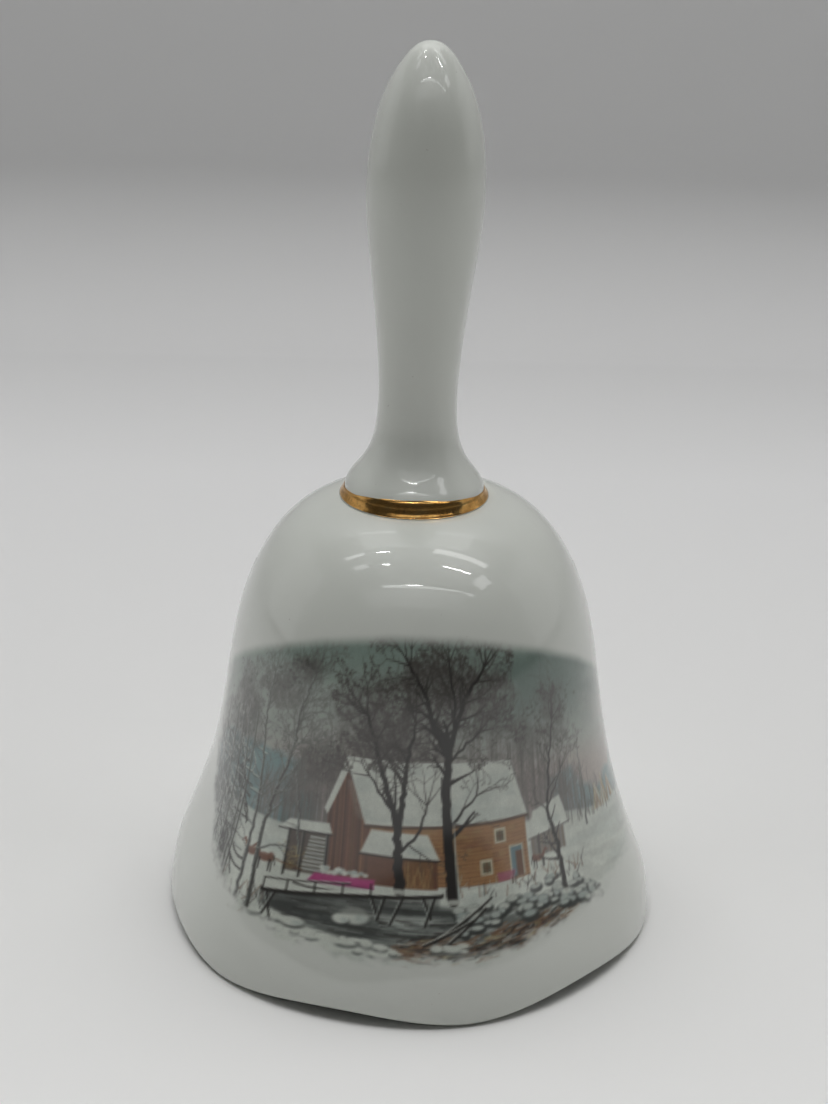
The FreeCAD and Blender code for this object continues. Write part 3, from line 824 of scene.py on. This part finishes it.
def paint_thicket(picture):
    """Frosted undergrowth that closes the left of the scene, its boughs hanging under their snow."""
    rng = np.random.default_rng(51)
    dark = picture.noise(2.6, 4.6, 52)
    fine = picture.noise(0.8, 1.3, 53, 3)
    bounds = smooth_step(-28.5, -33.0, picture.u + (dark - 0.5) * 6)
    top = smooth_step(52, 30, picture.v + (dark - 0.5) * 16) * smooth_step(10, 15, picture.v)
    depth = 0.55 + 0.45 * smooth_step(0.35, 0.6, fine)
    picture.wash(THICKET, bounds * top * depth * (0.6 + 0.4 * smooth_step(0.35, 0.65, dark)))
    picture.wash(BARK, bounds * smooth_step(34, 22, picture.v) * smooth_step(0.5, 0.7, dark) * 0.6)
    for _ in range(150):
        u, v = rng.uniform(-47, -29.5), rng.uniform(13, 40)
        heading = rng.choice((-1, 1)) * rng.uniform(20, 75)
        bright = rng.random() < 0.6
        for _ in range(9):
            step = rng.uniform(0.3, 0.62)
            turn = math.radians(heading)
            tip = (u + step * math.cos(turn), v - step * math.sin(abs(turn)))
            colour = blend_tones(FROST, SNOW, rng.random()) if bright else blend_tones(THICKET, BARK, 0.7)
            picture.stroke((u, v), tip, 0.34, 0.28, colour, 0.5 if bright else 0.7)
            if bright:
                picture.stroke((u, v - 0.25), (tip[0], tip[1] - 0.25), 0.16, 0.14, BARK, 0.45)
            heading += rng.normal(6, 16)
            u, v = tip
    for _ in range(1500):
        u, v = rng.normal(-37.5, 4.8), rng.uniform(12.5, 44)
        if u > -29.5:
            continue
        heading = math.radians(rng.normal(90, 30))
        reach = rng.uniform(0.25, 1.1)
        tip = (u + reach * math.cos(heading), v + reach * math.sin(heading))
        bright = rng.random() < 0.5
        pair = (FROST, SNOW) if bright else (THICKET, BARK)
        colour = blend_tones(*pair, rng.random())
        picture.stroke((u, v), tip, rng.uniform(0.14, 0.26), 0.1, colour, rng.uniform(0.3, 0.65))
    for u, lean in ((-30.4, 0.4), (-33.6, -0.6), (-36.8, 0.2), (-40.5, -0.4)):
        picture.stroke((u, 13.5), (u + lean, 44), 0.44, 0.2, BARK, 0.8)
        picture.stroke((u - 0.2, 13.5), (u + lean - 0.2, 44), 0.16, 0.12, FROST, 0.7)


def paint_stream(picture):
    """A dark stream that comes under the footbridge and widens to the lower edge."""
    ripples = picture.noise(9, 0.9, 61, 5)
    middle = 15.6 - 0.07 * (picture.u + 4)
    half = 3.6 + 0.03 * picture.u - 0.004 * (picture.u + 2) ** 2
    wet = smooth_step(0.4, -0.4, np.abs(picture.v - middle) - half + (ripples - 0.5) * 1.8)
    wet *= smooth_step(-24, -19, picture.u) * smooth_step(26, 17, picture.u)
    picture.wash(WATER, wet * 0.9)
    picture.wash(WATER_DARK, wet * smooth_step(0.5, 0.66, ripples) * 0.8)
    picture.wash(tone(206, 210, 208), wet * smooth_step(0.46, 0.3, ripples) * 0.75)
    rng = np.random.default_rng(62)
    for _ in range(230):
        u = rng.uniform(-20, 16)
        v = 15.4 - 0.07 * (u + 4) + rng.normal(0, 1.7)
        reach = rng.uniform(0.8, 4.2)
        colour = rng.choice((WATER_DARK, BARK, FROST, WATER, TWIG))
        tip = (u + reach, v + rng.normal(0, 0.12))
        picture.stroke((u, v), tip, rng.uniform(0.12, 0.3), 0.1, colour, 0.5)


def paint_banks(picture):
    """Brown banks, brush, and stones with snow on them."""
    rng = np.random.default_rng(63)
    for _ in range(420):
        u = rng.uniform(-2, 25)
        v = 12.2 + 0.15 * (u - 8) * (u > 8) + rng.normal(0, 1.05)
        reach = rng.uniform(0.5, 2.8)
        rise = reach * rng.normal(0.22, 0.16)
        tints = (EARTH, BARK, PLANK_DARK, TWIG, FROST, STRAW)
        colour = rng.choice(tints, p=(0.3, 0.2, 0.2, 0.12, 0.12, 0.06))
        picture.stroke((u, v), (u + reach, v + rise), rng.uniform(0.14, 0.4), 0.12, colour, 0.62)
    stones = [(rng.uniform(7, 31), rng.normal(0, 1)) for _ in range(72)]
    for u, offset in sorted(stones, key=lambda stone: -stone[1]):
        v = 17.2 - 0.012 * (u - 18) ** 2 + 1.25 * offset
        wide, tall = rng.uniform(0.8, 1.9), rng.uniform(0.55, 1.15)
        side = blend_tones(WATER_DARK, THICKET, rng.random())
        picture.dab((u, v), wide, tall, side, 0.92, 0.3)
        top = blend_tones(SNOW_SHADE, SNOW, rng.random())
        picture.dab((u - 0.08, v + tall * 0.4), wide * 0.84, tall * 0.6, top, 0.9, 0.45)
    for u in [rng.uniform(-23, 8) for _ in range(30)]:
        v = 11.9 + 0.006 * (u + 2) ** 2 + rng.normal(0, 0.5)
        wide, tall = rng.uniform(0.7, 2.0), rng.uniform(0.35, 0.8)
        picture.dab((u, v - 0.3), wide, tall, WATER, 0.7, 0.4)
        picture.dab((u, v + 0.1), wide * 0.95, tall * 0.85, SNOW, 0.9, 0.4)
    for u, v, wide, tall in ((-7.6, 16.2, 2.6, 1.5), (-9.6, 15.6, 1.5, 0.9), (-16.5, 14.2, 2.2, 0.8)):
        picture.dab((u + 0.2, v - 0.4), wide, tall, WATER_DARK, 0.75, 0.4)
        picture.dab((u, v), wide, tall, SNOW, 0.97, 0.35)
        picture.dab((u + wide * 0.35, v - tall * 0.2), wide * 0.5, tall * 0.5, SNOW_SHADE, 0.6, 0.7)
    for _ in range(150):
        u = rng.choice((rng.uniform(6, 30), rng.uniform(-34, -20)))
        foot = 20.2 + rng.normal(0, 0.6) if u > 0 else 15.6 + rng.normal(0, 1.2)
        sway = rng.normal(0, 0.7)
        colour = rng.choice((BARK, TWIG, FROST, PLANK_DARK))
        picture.stroke((u, foot), (u + sway, foot + rng.uniform(0.6, 2.2)), 0.2, 0.1, colour, 0.6)


def paint_footbridge(picture):
    """Planks on slanting props over the stream, with a low rail, all under snow."""
    rng = np.random.default_rng(64)
    deck_left, deck_right = np.array([-22.0, 18.0]), np.array([4.6, 20.2])
    deck = deck_right - deck_left
    below = [(-21.6, 15.4), (4.2, 17.2), tuple(deck_right), tuple(deck_left)]
    picture.area(below, WATER_DARK, 0.5, 0.45)
    props = ((0.02, 1.6), (0.08, -1.4), (0.62, 1.2), (0.7, -1.0), (0.8, -1.8), (0.9, 1.2), (0.97, -1.5))
    for share, lean in props:
        top = deck_left + deck * share
        foot = top + np.array([lean, -rng.uniform(3.0, 4.4)])
        picture.stroke(top, foot, 0.5, 0.42, BARK, 0.9)
        edge = np.array([-0.2, 0.0])
        picture.stroke(top + edge, foot + edge, 0.18, 0.16, FROST, 0.9)
    picture.stroke(deck_left, deck_right, 0.85, 0.85, BARK, 0.9)
    lift = np.array([0, 0.34])
    picture.stroke(deck_left + lift, deck_right + lift, 0.46, 0.46, SNOW)
    rail = np.array([0, 1.7])
    for share in (0.0, 0.14, 0.3, 0.46, 0.62, 0.8):
        foot = deck_left + deck * share
        picture.stroke(foot, foot + rail, 0.26, 0.24, BARK, 0.85)
    rail_start, rail_end = deck_left + rail, deck_left + deck * 0.5 + rail * 0.94
    picture.stroke(rail_start, rail_end, 0.26, 0.24, BARK, 0.8)
    cap = np.array([0, 0.16])
    picture.stroke(rail_start + cap, rail_end + cap, 0.18, 0.16, SNOW, 0.9)
    poles = (((3.6, 13.6), (12.0, 19.4)), ((5.6, 13.4), (11.0, 18.0)), ((2.2, 13.0), (9.4, 16.6)))
    for start, end in poles:
        picture.stroke(start, end, 0.42, 0.34, BARK, 0.85)
        picture.stroke(*(np.array([start, end]) + (-0.1, 0.2)), 0.16, 0.14, SNOW, 0.9)


def paint_trees(picture):
    dark = (BARK, TWIG, 9.0, 0.0)
    lit = (BARK, TWIG, 9.0, 0.55)
    pale = (blend_tones(BARK, FROST, 0.28), blend_tones(TWIG, FROST, 0.35), 10.0, 0.75)
    limbed_tree(picture, 71, [
        ([(-23.9, 14.8), (-24.6, 26), (-23.2, 33), (-20.6, 40), (-20.0, 46), (-17.8, 52)], 0.8, 0.26),
        ([(-23.4, 33), (-19.0, 38.4)], 0.3, 0.16),
    ], 3, pale)
    limbed_tree(picture, 72, [
        ([(-26.4, 14.6), (-26.6, 30), (-27.6, 44), (-27.0, 51)], 0.66, 0.22),
    ], 3, pale, 0.8)
    limbed_tree(picture, 73, [([(-31.0, 15.4), (-31.4, 32), (-32.8, 46)], 0.6, 0.2)], 3, pale, 0.75)
    limbed_tree(picture, 74, [([(-17.4, 24), (-18.4, 31), (-19.6, 36.5)], 0.4, 0.18)], 2, pale, 0.6)
    limbed_tree(picture, 75, [
        ([(25.4, 17.4), (25.2, 25), (23.7, 30), (24.6, 37), (26.2, 44.5)], 0.95, 0.26),
        ([(23.9, 31), (27.4, 36.2)], 0.34, 0.18),
    ], 3, lit, 0.7)
    limbed_tree(picture, 76, [([(32.6, 26), (33.0, 33), (32.4, 38.5)], 0.4, 0.16)], 3, pale, 0.6)
    limbed_tree(picture, 77, [
        ([(-1.4, 20.6), (-1.6, 25), (-1.9, 30), (-3.9, 36), (-5.8, 42.5), (-7.6, 47)], 1.5, 0.4),
        ([(-1.8, 29), (-1.2, 35), (-0.3, 41), (0.6, 46)], 1.0, 0.34),
        ([(-1.6, 26), (1.6, 29.4), (2.6, 33.4)], 0.46, 0.22),
        ([(-3.2, 33), (-6.6, 37.6)], 0.5, 0.22),
    ], 4, dark)
    limbed_tree(picture, 78, [
        ([(6.4, 19.4), (5.9, 26), (5.7, 34), (6.1, 41.5)], 1.7, 1.15),
        ([(6.1, 41), (7.6, 46), (9.6, 50.6), (12.8, 54)], 1.0, 0.34),
        ([(6.0, 41), (3.4, 46), (2.2, 50.4), (-0.6, 54.4)], 0.95, 0.34),
        ([(7.4, 45), (7.0, 50), (6.4, 55.0)], 0.5, 0.24),
        ([(5.9, 30), (10.6, 34.6)], 0.44, 0.22),
        ([(6.2, 40), (11.6, 44.6)], 0.42, 0.22),
    ], 4, dark)
    picture.stroke((7.2, 19.6), (6.7, 33.0), 0.42, 0.16, FROST, 0.8)
    for foot, wide, v in ((-1.4, 1.8, 20.4), (6.4, 2.2, 19.2), (25.4, 1.6, 17.2)):
        picture.dab((foot, v), wide, 0.6, SNOW, 0.85, 0.6)


def paint_scene():
    """A winter farm: bare trees before a snowed barn, a footbridge over a stream, hills in the haze."""
    picture = Picture()
    paint_sky(picture)
    paint_far_woods(picture)
    paint_twig_haze(picture)
    paint_ground(picture)
    paint_cottage(picture)
    paint_barn(picture)
    paint_shed(picture)
    paint_yard(picture)
    paint_thicket(picture)
    paint_stream(picture)
    paint_banks(picture)
    paint_footbridge(picture)
    paint_trees(picture)
    grain = picture.noise(0.5, 0.5, 81, 2) - 0.5
    patches = picture.noise(3, 3, 82) - 0.5
    picture.colour *= (1 + 0.07 * grain + 0.08 * patches)[..., None]
    return picture


# ---------------------------------------------------------------- the print on the shell

MM_PER_DEGREE = 0.576
EDGE_TURN = 72.0
EDGE_BOW = 3.8
PRINT_TOP = 58.2
PRINT_TOP_FALL = 11.0
PRINT_FOOT = 9.9
LEFT_EDGE, RIGHT_EDGE = -82.0, 89.0


def coverage(turn, height):
    """How far the print covers the glaze at degrees from the front and a height in millimetres."""
    edge = turn / EDGE_TURN
    picture = Picture()
    rough = sample(picture.noise(4.5, 2.2, 91, 3)[..., None], turn, height)[:, 0] - 0.5
    fine = sample(picture.noise(1.2, 0.7, 92, 2)[..., None], turn, height)[:, 0] - 0.5
    top = PRINT_TOP - PRINT_TOP_FALL * edge ** 2
    left = np.clip(-turn, 0, None)
    right = np.clip(turn, 0, None)
    foot = PRINT_FOOT + 0.0000095 * left ** 3.28 + 0.00085 * right ** 1.95
    share = smooth_step(top + 0.9, top - 1.3, height + rough * 0.3)
    fade = 2.2 + 0.07 * np.clip(np.abs(turn) - 45, 0, None)
    share *= smooth_step(foot - 0.6, foot + fade, height + rough * 3.4 + fine * 2.0)
    share *= smooth_step(LEFT_EDGE - 3, LEFT_EDGE + 10, turn + rough * 5)
    share *= smooth_step(RIGHT_EDGE + 2, RIGHT_EDGE - 16, turn + rough * 6)
    return share


def sample(grid, turn, height):
    """Values of a painted grid at places on the shell, the picture bowed down towards its sides."""
    across = (np.clip(turn * MM_PER_DEGREE, PAINT_LEFT + 1, PAINT_RIGHT - 1) - PAINT_LEFT) / PAINT_CELL
    bowed = height + EDGE_BOW * (turn / EDGE_TURN) ** 2
    up = (np.clip(bowed, PAINT_LOW + 1, PAINT_HIGH - 1) - PAINT_LOW) / PAINT_CELL
    column, row = across.astype(int), up.astype(int)
    across, up = (across - column)[:, None], (up - row)[:, None]
    return between_cells(grid, row, column, up, across)


def softened(colour):
    """Spreads each cell a little over its neighbours, as ink spreads in the glaze."""
    for axis in (0, 1):
        colour = colour * 0.5 + (np.roll(colour, 1, axis) + np.roll(colour, -1, axis)) * 0.25
    return colour


def print_picture(shell, surface, printed, white):
    """Stores the picture on the shell's printed points: its colour, and how far it covers the glaze."""
    turn = (np.degrees(np.arctan2(surface[:, 1], surface[:, 0])) + 90 + 180) % 360 - 180
    height = surface[:, 2]
    share = coverage(turn, height)
    share[~printed] = 0
    colour = sample(softened(paint_scene().colour), turn, height)
    linear = np.where(colour < 0.04045, colour / 12.92, ((colour + 0.055) / 1.055) ** 2.4) * np.array(white)
    values = np.concatenate([np.clip(linear, 0, 1), share[:, None]], axis=1)
    layer = shell.data.color_attributes.new(name="picture", type="FLOAT_COLOR", domain="POINT")
    layer.data.foreach_set("color", values.astype(np.float32).ravel())


# ---------------------------------------------------------------- the handle and the band

HANDLE_FOOT = CROWN + 0.05
COVE_TOP = CROWN + 1.8
TIP = 140.0
COVE_BASE = (11.65, HANDLE_FOOT)
COVE_HEAD = (10.8, COVE_TOP)
COVE_DEPTH = 0.25
HANDLE_OUTER = [
    COVE_HEAD, (10.4, COVE_TOP + 1.3), (8.5, COVE_TOP + 3.0), (5.9, COVE_TOP + 8.0), (6.0, COVE_TOP + 18.9),
    (7.6, TIP - 34.1), (9.3, TIP - 21.9), (7.8, TIP - 9.0), (4.0, TIP - 2.3), (1.8, TIP), (0.0, TIP),
]
HANDLE_BORE = 9.0
HANDLE_LEAN = math.radians(0.9)
HANDLE_SHIFT = 0.5
GILT_THICKNESS = 0.07
GILT_FILL = 0.07
GILT_CLEARANCE = 0.004
GILT_REACH = 1.5
GILT_FRONT_REACH = 1.3
WOBBLE = 0.035
WOBBLE_SPREAD = 6


def leaned(point):
    """Sets a point of the handle off to -X and leans it to +X; the foot itself stays flat on the crown."""
    x, y, z = point
    rise = z - HANDLE_FOOT
    lean = HANDLE_LEAN * smooth_step(0, 4, rise)
    return (
        x * math.cos(lean) + rise * math.sin(lean) - HANDLE_SHIFT,
        y,
        HANDLE_FOOT + rise * math.cos(lean) - x * math.sin(lean),
    )


def handle_profile():
    """The outside of the handle: the cove on its foot, then the long curve to the tip."""
    cove = hollowed(COVE_BASE, COVE_HEAD, COVE_DEPTH)
    curve = evenly(spline(HANDLE_OUTER), 0.6)
    curve[-1] = (0, TIP)
    return np.concatenate([cove, curve[1:]])


def hollowed(start, end, depth, count=16):
    """An arc from start to end that is hollow by depth to the left of the way between them."""
    start, end = np.array(start, float), np.array(end, float)
    chord = end - start
    left = np.array([-chord[1], chord[0]]) / np.linalg.norm(chord)
    share = np.linspace(0, 1, count)
    return start + share[:, None] * chord + (4 * depth * share * (1 - share))[:, None] * left


def make_handle():
    """The grip's outside, closed by the bore that the cement fills."""
    bore = [(0, HANDLE_FOOT + HANDLE_BORE), (VENT, HANDLE_FOOT + HANDLE_BORE), (VENT, HANDLE_FOOT)]
    return lathe("grip", np.concatenate([bore, handle_profile()]), 192, leaned)


def moving_mean(values, count):
    return np.convolve(values, np.ones(count) / count, "valid")


def make_band():
    """The gilding: it fills the cove, and was brushed higher up the foot in front than at the sides."""
    columns = 240
    sharp = evenly(handle_profile()[:40], 0.06)
    padded = np.pad(sharp, ((7, 7), (0, 0)), mode="edge")
    outline = np.stack([moving_mean(padded[:, axis], 15) for axis in range(2)], axis=1)
    run = run_length(outline)
    slopes = np.gradient(outline, axis=0)
    outward = np.stack([slopes[:, 1], -slopes[:, 0]], axis=1)
    outward /= np.linalg.norm(outward, axis=1)[:, None]
    rows = np.linspace(0, 1, 26)
    wobble = np.random.default_rng(95).normal(0, WOBBLE, columns)
    # Dividing by about the root of the count keeps the smoothed wobble as large as the drawn one
    spread = np.ones(2 * WOBBLE_SPREAD + 1) / 3.6
    wobble = np.convolve(np.pad(wobble, WOBBLE_SPREAD, mode="wrap"), spread, "valid")
    vertices, faces = [], []
    for column in range(columns):
        angle = 2 * math.pi * column / columns
        front = max(0.0, -math.sin(angle)) ** 1.6
        reach = GILT_REACH + GILT_FRONT_REACH * front + wobble[column]
        for side in (1, 0):
            for share in (rows if side else rows[::-1]):
                at = share * reach
                point = [np.interp(at, run, outline[:, axis]) for axis in range(2)]
                lift = side * GILT_THICKNESS * min(1.0, 9 * share, 9 * (1 - share)) + GILT_CLEARANCE
                lift += GILT_FILL * math.sin(math.pi * share)
                push = [np.interp(at, run, outward[:, axis]) for axis in range(2)]
                radius, height = point[0] + lift * push[0], point[1] + lift * push[1]
                vertices.append(leaned((radius * math.cos(angle), radius * math.sin(angle), height)))
    ring = 2 * len(rows)
    for column in range(columns):
        here, there = column * ring, (column + 1) % columns * ring
        for row in range(ring):
            after = (row + 1) % ring
            faces.append((here + row, there + row, there + after, here + after))
    return new_object("gilding", np.array(vertices) * MM, faces)


# ---------------------------------------------------------------- the camera and the studio

CAMERA_DISTANCE = 0.2802
CAMERA_HEIGHT = 0.1771
CAMERA_ASIDE = -0.0003
CAMERA_PITCH = math.radians(22.46)
CAMERA_ROLL = math.radians(1.3)
CAMERA_LENS = 62.7
WALL_DISTANCE = 0.36
WALL_BEND = 0.05
WALL_TOP = 2.0
TABLE_FRONT = -3.0
STAGE_HALF_WIDTH = 1.6
WORLD_STRENGTH = 0.045
STRIP_HEIGHT = 0.84
# The table's colours are painted light falloff: painted light near the camera, painted shade towards the
# backdrop
TABLE_NEAR_PAINTED_LIGHT = (0.91, 0.91, 0.90)
TABLE = (0.77, 0.77, 0.76)
TABLE_FAR_PAINTED_SHADE = (0.73, 0.73, 0.73)
TABLE_END_PAINTED_SHADE = (0.62, 0.62, 0.62)
BACKDROP = (0.65, 0.65, 0.65)


def aimed(direction):
    return Vector(direction).to_track_quat("-Z", "Y")


def add_camera():
    camera = bpy.data.cameras.new("camera")
    camera.lens = CAMERA_LENS
    camera.sensor_width = 36.0
    camera.clip_start = 0.01
    camera.clip_end = 20.0
    holder = bpy.data.objects.new("camera", camera)
    bpy.context.collection.objects.link(holder)
    holder.location = (CAMERA_ASIDE, -CAMERA_DISTANCE, CAMERA_HEIGHT)
    holder.rotation_mode = "QUATERNION"
    level = aimed((0, math.cos(CAMERA_PITCH), -math.sin(CAMERA_PITCH)))
    holder.rotation_quaternion = level @ Quaternion((0, 0, 1), CAMERA_ROLL)
    bpy.context.scene.camera = holder


def add_light(name, location, target, width, height, power, turn=0.0, lighting=True, mirrored=True):
    lamp = bpy.data.lights.new(name, "AREA")
    lamp.shape = "RECTANGLE"
    lamp.size, lamp.size_y = width, height
    lamp.energy = power
    holder = bpy.data.objects.new(name, lamp)
    bpy.context.collection.objects.link(holder)
    holder.location = location
    holder.rotation_mode = "QUATERNION"
    aim = aimed(Vector(target) - Vector(location))
    holder.rotation_quaternion = aim @ Quaternion((0, 0, 1), math.radians(turn))
    holder.visible_diffuse = lighting
    holder.visible_glossy = mirrored


def add_stage():
    """A table that sweeps up into a plain backdrop; the table's colour carries painted light, lighter near
    the camera and darker towards the back.
    """
    bend = np.radians(np.linspace(0, 90, 25))
    start = WALL_DISTANCE - WALL_BEND
    line = [(TABLE_FRONT, 0.0), (-0.4, 0.0), (start, 0.0)]
    line += [(start + WALL_BEND * math.sin(a), WALL_BEND * (1 - math.cos(a))) for a in bend[1:]]
    line.append((WALL_DISTANCE, WALL_TOP))
    vertices = [(x, y, z) for x in (-STAGE_HALF_WIDTH, STAGE_HALF_WIDTH) for y, z in line]
    count = len(line)
    faces = [(i, count + i, count + i + 1, i + 1) for i in range(count - 1)]
    stage = new_object("stage", vertices, faces)
    look = Look("stage")
    look.set(Roughness=0.7)
    place = look.node("ShaderNodeTexCoord")
    parts = look.node("ShaderNodeSeparateXYZ")
    look.join(place.outputs["Object"], parts.inputs["Vector"])
    depth = look.level(parts.outputs["Y"], -WALL_DISTANCE, WALL_DISTANCE, 0.0, 1.0)
    # Painted light falloff: the table is painted lighter in front and darker towards the back
    tint = look.ramp(
        depth, (0.40, TABLE_NEAR_PAINTED_LIGHT), (0.52, TABLE), (0.78, TABLE_FAR_PAINTED_SHADE), (0.92, TABLE_END_PAINTED_SHADE), (1.0, BACKDROP)
    )
    look.join(tint, look.shader.inputs["Base Color"])
    stage.data.materials.append(look.material)


def add_world():
    world = bpy.data.worlds.new("world")
    bpy.context.scene.world = world
    world.use_nodes = True
    background = world.node_tree.nodes["Background"]
    background.inputs["Color"].default_value = (1.0, 1.0, 0.97, 1)
    background.inputs["Strength"].default_value = WORLD_STRENGTH


# What the glaze mirrors: middle, length and width in metres, turn in degrees, radiance
STRIPS = (
    (0.0, -0.80, 1.3, 0.36, 0, 0.45),
    (0.38, -0.03, 0.54, 0.075, -12, 3.6),
    (-0.48, -0.01, 0.22, 0.05, 6, 3.2),
    (-0.48, -0.20, 0.16, 0.08, 6, 2.2),
    (0.20, -0.60, 1.1, 0.05, -3, 3.0),
    (0.74, -0.36, 0.24, 0.20, -20, 2.4),
    (0.0, 0.22, 0.7, 0.3, 0, 0.9),
    (-0.22, 0.0, 0.10, 0.010, 0, 60.0),
    (-0.23, -0.20, 0.06, 0.012, 0, 60.0),
    (0.36, -0.24, 0.30, 0.012, -12, 60.0),
    (-0.13, -0.56, 0.40, 0.011, 0, 50.0),
)


def add_lights():
    """A broad soft box overhead that stays out of reflections, and a small one at each side.

    The strips only show in reflections: a dim panel in front, six faint ones and four bright narrow ones.
    """
    add_light("overhead", (0, 0.17, 0.95), (0, 0.05, 0), 1.0, 0.8, 9.5, mirrored=False)
    for side in (-1, 1):
        add_light("side", (side * 0.75, 0.12, 0.30), (0, 0.0, 0.08), 0.5, 0.5, 0.30)
    for number, (x, y, length, width, turn, glow) in enumerate(STRIPS):
        place = (x, y, STRIP_HEIGHT)
        power = glow * math.pi * length * width
        add_light(f"strip_{number}", place, (x, y, 0), length, width, power, turn=turn, lighting=False)


# ---------------------------------------------------------------- assembly

GLAZE = (0.70, 0.72, 0.67)
GLAZE_SHADE = (0.67, 0.695, 0.645)

add_camera()
add_stage()
add_world()
add_lights()
bpy.context.scene.view_settings.view_transform = "Standard"


def dress(made, node, material):
    """Gives a piece of the bell its material, attaches it to the bell's body, and hides the solid it stands
    for.
    """
    made.data.materials.append(material)
    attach(made, "bell")
    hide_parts(node)


shell, surface, printed = make_shell()
print_picture(shell, surface, printed, GLAZE)
dress(shell, "bell_shell", porcelain("printed_glaze", GLAZE, GLAZE_SHADE, "picture"))
dress(make_handle(), "handle", porcelain("white_glaze", GLAZE, GLAZE_SHADE))
dress(make_band(), "gold_band", gold_lustre())

looks = {
    "luting_slip": matt("unglazed_porcelain", (0.72, 0.71, 0.67), (0.60, 0.59, 0.55), 2600, 0.00002),
    "anchor_cement": matt("cement", (0.60, 0.58, 0.52), (0.44, 0.42, 0.37), 1500, 0.00012),
    "clapper_ball": porcelain("clapper_porcelain", (0.76, 0.76, 0.72), (0.72, 0.72, 0.68)),
}
wire_look = brass()
for node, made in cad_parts.items():
    if node in looks or node.startswith("chain_link") or node in ("hanger_eye", "clapper_pin"):
        made.data.materials.clear()
        made.data.materials.append(looks.get(node, wire_look))
